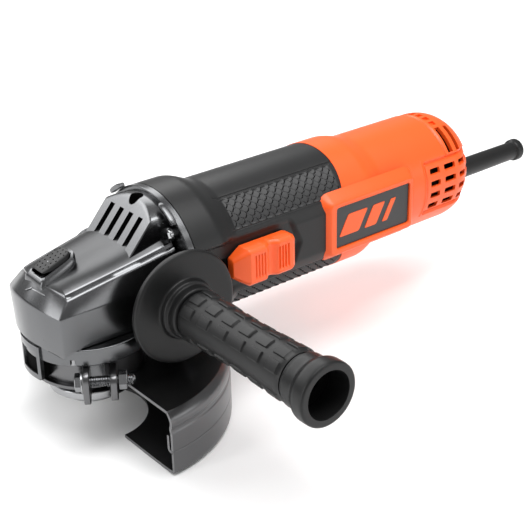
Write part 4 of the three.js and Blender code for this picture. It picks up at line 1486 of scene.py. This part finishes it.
@dataclass
class WheelSeat:
    """Output spindle with its inner flange and clamp nut."""

    pin_r: float = 11.0

    def build(self) -> None:
        """Spindle thread, inner flange with a raised seat and the nut with its four pin holes."""
        thread = [[0, 0.0], [5.8, 0.0], [6.5, 0.7]]
        for k in range(6):
            thread += [[7.0, k + 1.1], [6.35, k + 1.6]]
        thread += [[7.0, 7.2], [7.0, 64.6], [6.6, 65.0], [0, 65.0]]
        bore = Shell().turned(np.array([[0, -1.0], [3.0, -1.0], [2.6, 4.0], [0, 4.0]]), Axis.Z, segments=6)
        # The hex recess's walls take the near-black painted shade.
        Shell().turned(np.array(thread), Axis.Z, segments=64).object(
            "spindle_threaded", "spindle", "steel", [Finishes.STEEL, Finishes.PAINTED_SHADE], 34,
            replaces=["spindle"], cut=bore)
        seat = np.array([[7.1, 8.2], [16.4, 8.2], [16.5, 7.0], [20.3, 7.0], [20.3, 10.6], [17.5, 11.6],
                         [12.5, 13.7], [7.1, 13.7]])
        seat = soften(seat, [0.02, 0.08, 0.12, 0.12, 0.15, 0.3, 0.2, 0.05], 4, closed=True)
        Shell().turned(seat, Axis.Z, segments=128).object(
            "inner_flange_turned", "spindle", "steel", [Finishes.STEEL], 34, replaces=["inner_flange"])
        nut = np.array([[7.1, 2.8], [14.6, 2.8], [15.0, 3.6], [15.0, 5.8], [14.2, 6.7], [7.1, 6.7]])
        pins = Shell()
        for k in range(4):
            a = TAU * (k + 0.5) / 4
            pins.turned(np.array([[0, 1.0], [2.1, 1.0], [2.1, 9.0], [0, 9.0]]), Axis.Z,
                        (self.pin_r * math.cos(a), self.pin_r * math.sin(a), 0), 28)
        Shell().turned(soften(nut, 0.12, 3, closed=True), Axis.Z, segments=128).object(
            "clamp_nut_turned", "clamp_nut", "steel", [Finishes.STEEL, Finishes.STEEL], 34,
            replaces=["clamp_nut"], cut=pins)


# ---- hand controls --------------------------------------------------------------------------
@dataclass
class SideHandle:
    """Side handle: guard disc, padded grip and bell end on a threaded stud."""

    disc: tuple[float, float] = (37.8, 41.4)
    disc_r: float = 26.4
    grip: tuple[float, float] = (50.0, 117.5)
    grip_r: float = 11.4
    grip_bore: float = 9.35
    pad_first: float = 55.6
    pad_pitch: float = 11.3
    pad_turn: float = 36.0
    pad_height: float = 0.8

    def build(self) -> None:
        """Disc with neck and bell end, and the soft grip between them."""
        d0, d1 = self.disc
        keys = np.array([[4.4, d0], [self.disc_r - 1, d0], [self.disc_r, d0 + 0.9],
                         [self.disc_r, d1 - 0.8], [self.disc_r - 1.0, d1], [14.6, d1 + 0.05],
                         [14.0, d1 + 0.5], [13.7, 44.6], [12.3, 44.9], [12.3, 46.8], [12.4, 47.4],
                         [12.2, 49.6], [9.3, 49.8], [9.3, 117.6], [11.0, 118.2], [10.9, 119.4],
                         [12.1, 119.8], [12.1, 126.0], [14.2, 128.6], [14.2, 134.6], [13.4, 135.2],
                         [10.6, 135.2], [10.2, 123.4], [6.0, 122.6], [6.0, 66.8], [4.4, 66.4]])
        shares = np.full(len(keys), 0.3)
        shares[[0, 12, 13, 21, 22, 23, 24, 25]] = 0.05
        profile = soften(keys, shares, 4, closed=True)
        # The bore's faces take the near-black painted shade.
        bore = ((profile[:, 0] < 10.7) & (profile[:, 1] > 60) & (np.arange(len(profile)) > 110)).astype(int)
        Shell().turned(profile, Axis.MINUS_Y, (HANDLE_X, 0, HANDLE_Z), 128, bore).object(
            "handle_body_turned", "side_handle", "black_plastic", [Finishes.HANDLE, Finishes.PAINTED_SHADE], 30,
            replaces=["handle_body"])
        self.sleeve()

    def sleeve(self) -> None:
        """Soft grip.

        The radius gains a pad height wherever both a ring wave along the grip and a wave round it are past
        their edges; pads stand only in groups above and below, and the flanks stay smooth.
        """
        y0, y1 = self.grip
        along = np.concatenate([[y0, y0 + 0.3, y0 + 1.0], np.arange(y0 + 2, y1 - 2, 0.4),
                                [y1 - 1.2, y1 - 0.4, y1]])
        around = np.linspace(0, TAU, 300, endpoint=False)
        y, a = along[:, None], around[None, :]
        ends = smoothstep(y, y0 - 0.4, y0 + 2.0) * (1 - smoothstep(y, y1 - 2.0, y1 + 0.4))
        waist = 0.35 * np.cos((y - y0) / (y1 - y0) * TAU)
        base = self.grip_r - 1.0 + 0.55 * ends + waist
        phase = np.abs(((y - self.pad_first) / self.pad_pitch + 0.5) % 1 - 0.5) * self.pad_pitch
        pad_y = 1 - smoothstep(phase, 3.2, 3.6)
        turn = np.degrees(a)
        sector = np.abs((turn / self.pad_turn + 0.5) % 1 - 0.5) * math.radians(self.pad_turn) * self.grip_r
        pad_a = 1 - smoothstep(sector, 2.3, 2.7)
        field_y = smoothstep(y, y0 + 0.8, y0 + 1.2) * (1 - smoothstep(y, y1 - 1.6, y1 - 1.2))
        flank = np.minimum(np.minimum(np.abs(turn), np.abs(turn - 360)), np.abs(turn - 180))
        allowed = smoothstep(flank, 17, 19)
        r = base + self.pad_height * pad_y * pad_a * field_y * allowed
        r = np.concatenate([r, np.full((2, len(around)), self.grip_bore)])
        y = np.concatenate([y, [[y1], [y0]]])
        grid = np.stack([HANDLE_X + r * np.cos(a), -y + 0 * a, HANDLE_Z + r * np.sin(a)], 2)
        Shell().skin(grid, wrap_rows=True).object(
            "handle_grip_padded", "side_handle", "soft_grip", [Finishes.GRIP], 38, replaces=["handle_grip"])


@dataclass
class SwitchSlider:
    """Sliding switch on the left flank: two ribbed humps with a saddle and a pointed front."""

    x: tuple[float, float] = (58.6, 92.8)
    half: float = 9.1
    foot_y: float = -29.4
    grooves: tuple[float, float] = (68.4, 83.0)
    groove_pitch: float = 1.75
    groove_depth: float = 0.75
    groove_half: float = 5.8

    def top(self, x: np.ndarray) -> np.ndarray:
        """Face of the slider over its length: a ramp, the front hump, the saddle and the rear hump.

        Args:
            x: places along the slider.

        Returns:
            Distances from the body's middle plane.
        """
        front = 33.6 + 4.3 * np.clip((x - 59.0) / 6.5, 0, 1)
        saddle = 2.6 * smoothstep(x, 74.5, 78.0) * (1 - smoothstep(x, 79.0, 83.5))
        rear = 0.5 * smoothstep(x, 79, 84) + 1.2 * smoothstep(x, 90.5, 93.6)
        return front - saddle - rear

    def build(self) -> None:
        """The slider: cross sections along X whose width narrows to the front tip."""
        rows = []
        x0, x1 = self.x
        across = np.linspace(-1, 1, 45)
        places = np.concatenate([[x0, x0 + 0.3], np.arange(x0 + 0.6, x1 - 0.6, 0.25), [x1 - 0.3, x1]])
        for x in places:
            tip, tail = np.clip([(x0 + 6.5 - x) / 6.5, (x - x1 + 2.5) / 2.5], 0, 1)
            width = self.half - 4.4 * tip - 0.9 * tail
            edge = 0.4 if x in (x0, x1) else 0.0
            z = across * (width - edge)
            chamfer = 1.5 * np.clip((np.abs(z) - width + 1.7) / 1.7, 0, 1) ** 1.6
            reach = smoothstep(np.abs(z), self.groove_half - 0.3, self.groove_half + 0.1)
            groove = self.groove(x) * (1 - reach)
            top = self.top(np.array(x)) - edge - chamfer - groove
            line = np.stack([np.full(len(z), x), -top, MOTOR_Z + z], 1)
            foot = np.array([[x, self.foot_y, MOTOR_Z + z[-1]], [x, self.foot_y, MOTOR_Z + z[0]]])
            rows.append(np.concatenate([line, foot]))
        Shell().skin(np.array(rows)).object(
            "slider_cap", "slider", "orange_plastic", [Finishes.ORANGE], 40, replaces=["switch_slider"])

    def groove(self, x: float) -> float:
        """Depth of the grip grooves: two groups of four, each groove a narrow notch.

        Args:
            x: place along the slider.

        Returns:
            Depth at x.
        """
        notches = np.add.outer(self.grooves, self.groove_pitch * np.arange(4))
        return self.groove_depth * float(np.max(1 - smoothstep(np.abs(x - notches), 0.2, 0.5)))


@dataclass
class CordSleeve:
    """Strain relief at the rear end."""

    z: float = 45.1

    def build(self) -> None:
        """Turned sleeve: inner flange, smooth tapering barrel, end collar and bore."""
        barrel = [[3.3, 216.4], [4.8, 216.0], [5.2, 216.6], [5.2, 221.0], [8.2, 221.2], [8.2, 224.4],
                  [5.35, 224.6], [5.3, 262.0], [5.1, 287.6], [6.2, 288.4], [6.3, 292.0], [5.5, 293.0],
                  [3.6, 293.0], [3.3, 292.2]]
        shares = np.full(len(barrel), 0.3)
        shares[[0, 4, 5, 6, 7, 8]] = 0.02
        Shell().turned(soften(np.array(barrel), shares, 4, closed=True), Axis.X, (0, 0, self.z), 72).object(
            "cord_sleeve_ringed", "housing", "sleeve_rubber", [Finishes.SLEEVE], 40,
            replaces=["cord_sleeve"])


# ---- kept pieces ----------------------------------------------------------------------------
@dataclass
class Internals:
    """Frame pieces that keep their own shape and only get a finish."""

    finishes: dict[Finishes, tuple[str, ...]] = field(default_factory=lambda: {
        Finishes.STEEL: ("armature_shaft", "pinion", "bevel_gear", "lock_pin", "handle_stud",
                         *(f"gear_{part}_screw_{k}" for part in ("case", "cover") for k in range(1, 5)),
                         "cord_clamp_screw_1", "cord_clamp_screw_2", "brush_spring_top",
                         "brush_spring_bottom"),
        Finishes.BEARING: ("front_bearing", "rear_bearing", "lower_bearing", "upper_bearing"),
        Finishes.LAMINATE: ("field_core", "rotor_core"),
        Finishes.COPPER: ("field_coil_top", "field_coil_bottom", "rotor_winding_front", "rotor_winding_rear",
                          "commutator"),
        Finishes.BRASS: ("brush_holder_top", "brush_holder_bottom"),
        Finishes.CARBON: ("brush_top", "brush_bottom"),
        Finishes.BLACK: ("air_baffle", "brush_bridge", "switch_body", "switch_link", "fan", "cord_clamp",
                         "cord_clamp_base"),
    })

    def dress(self) -> None:
        """Gives every kept frame mesh its finish, and anything left over the black one."""
        wanted = {name: finish for finish, names in self.finishes.items() for name in names}
        for made in list(bpy.data.objects):
            if made.type != "MESH" or "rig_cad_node" not in made:
                continue
            finish = wanted.get(made["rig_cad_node"], Finishes.BLACK)
            made.data.materials.clear()
            made.data.materials.append(finish.material())


# ---- studio ---------------------------------------------------------------------------------
@dataclass
class Studio:
    """Pale floor, soft panels of light and the camera."""

    eye: tuple[float, float, float] = (-0.24017, -0.43250, 0.30459)
    axes: tuple[tuple[float, ...], ...] = ((0.7767, 0.2931, -0.5576), (-0.6297, 0.3336, -0.7016),
                                           (-0.0197, 0.8960, 0.4436))
    lens: float = 83.2

    def build(self) -> None:
        """Sets the floor, the lights, the world and the camera."""
        self.floor()
        self.panel("key", (0.1, -0.25, 0.95), (0.9, 0.5), 9.6)
        self.panel("top", (0.1, 0.75, 0.8), (1.3, 0.5), 8.0)
        self.panel("left", (-0.8, 0.05, 0.3), (0.2, 0.8), 2.6)
        self.panel("front", (0.5, -0.85, 0.3), (0.8, 0.25), 1.5)
        self.panel("bevel", (0.42, -0.68, 0.76), (0.5, 0.14), 0.7)
        self.panel("slope", (-0.5, 0.75, 0.55), (0.5, 0.4), 1.6)
        world = bpy.data.worlds.new("studio")
        world.use_nodes = True
        world.node_tree.nodes["Background"].inputs["Color"].default_value = (1, 1, 1, 1)
        world.node_tree.nodes["Background"].inputs["Strength"].default_value = 0.36
        bpy.context.scene.world = world
        bpy.context.scene.view_settings.view_transform = "Standard"
        self.camera()

    def floor(self) -> None:
        """A large pale floor just under the guard."""
        reach = 3.0
        z = GUARD_FOOT * MM - 0.0002
        mesh = bpy.data.meshes.new("floor")
        corners = [(-reach, -reach, z), (reach, -reach, z), (reach, reach, z), (-reach, reach, z)]
        mesh.from_pydata(corners, [], [(0, 1, 2, 3)])
        made = bpy.data.objects.new("floor", mesh)
        bpy.context.scene.collection.objects.link(made)
        shader = Shader("studio_floor")
        pale = shader.blend(shader.noise(200.0), (0.9, 0.9, 0.9), (0.93, 0.93, 0.93))
        shader.set(Base_Color=pale, Roughness=0.9)
        mesh.materials.append(shader.material)

    def panel(self, name: str, place: Sequence[float], size: Sequence[float], watts: float) -> None:
        """Adds a soft rectangle of light that faces the grinder.

        Args:
            name: light name.
            place: where it hangs, in metres.
            size: its two sides.
            watts: its power.
        """
        light = bpy.data.lights.new(name, "AREA")
        light.shape = "RECTANGLE"
        light.size, light.size_y = size
        light.energy = watts
        made = bpy.data.objects.new(name, light)
        target = np.array([0.08, 0, 0.04])
        back = np.array(place, float) - target
        back /= np.linalg.norm(back)
        side = np.cross((0, 0, 1.0), back)
        side /= np.linalg.norm(side)
        up = np.cross(back, side)
        turn = Matrix(np.stack([side, up, back], 1).tolist()).to_4x4()
        made.matrix_world = Matrix.Translation(place) @ turn
        bpy.context.scene.collection.objects.link(made)

    def camera(self) -> None:
        """Places the camera."""
        lens = bpy.data.cameras.new("camera")
        lens.lens = self.lens
        lens.sensor_width = 36.0
        lens.clip_start = 0.01
        made = bpy.data.objects.new("camera", lens)
        made.matrix_world = Matrix.Translation(self.eye) @ Matrix(self.axes).to_4x4()
        bpy.context.scene.collection.objects.link(made)
        bpy.context.scene.camera = made


def main() -> None:
    """Builds the grinder, its finishes and the studio."""
    logging.basicConfig(level=logging.INFO, format="%(message)s")
    parts: tuple[Any, ...] = (GearHead(), SpindleLock(), Guard(), WheelSeat(), SideHandle(), MotorHousing(),
                              RearHousing(), SwitchSlider(), CordSleeve())
    for part in parts:
        part.build()
    Internals().dress()
    Studio().build()


if __name__ == "__main__":
    main()
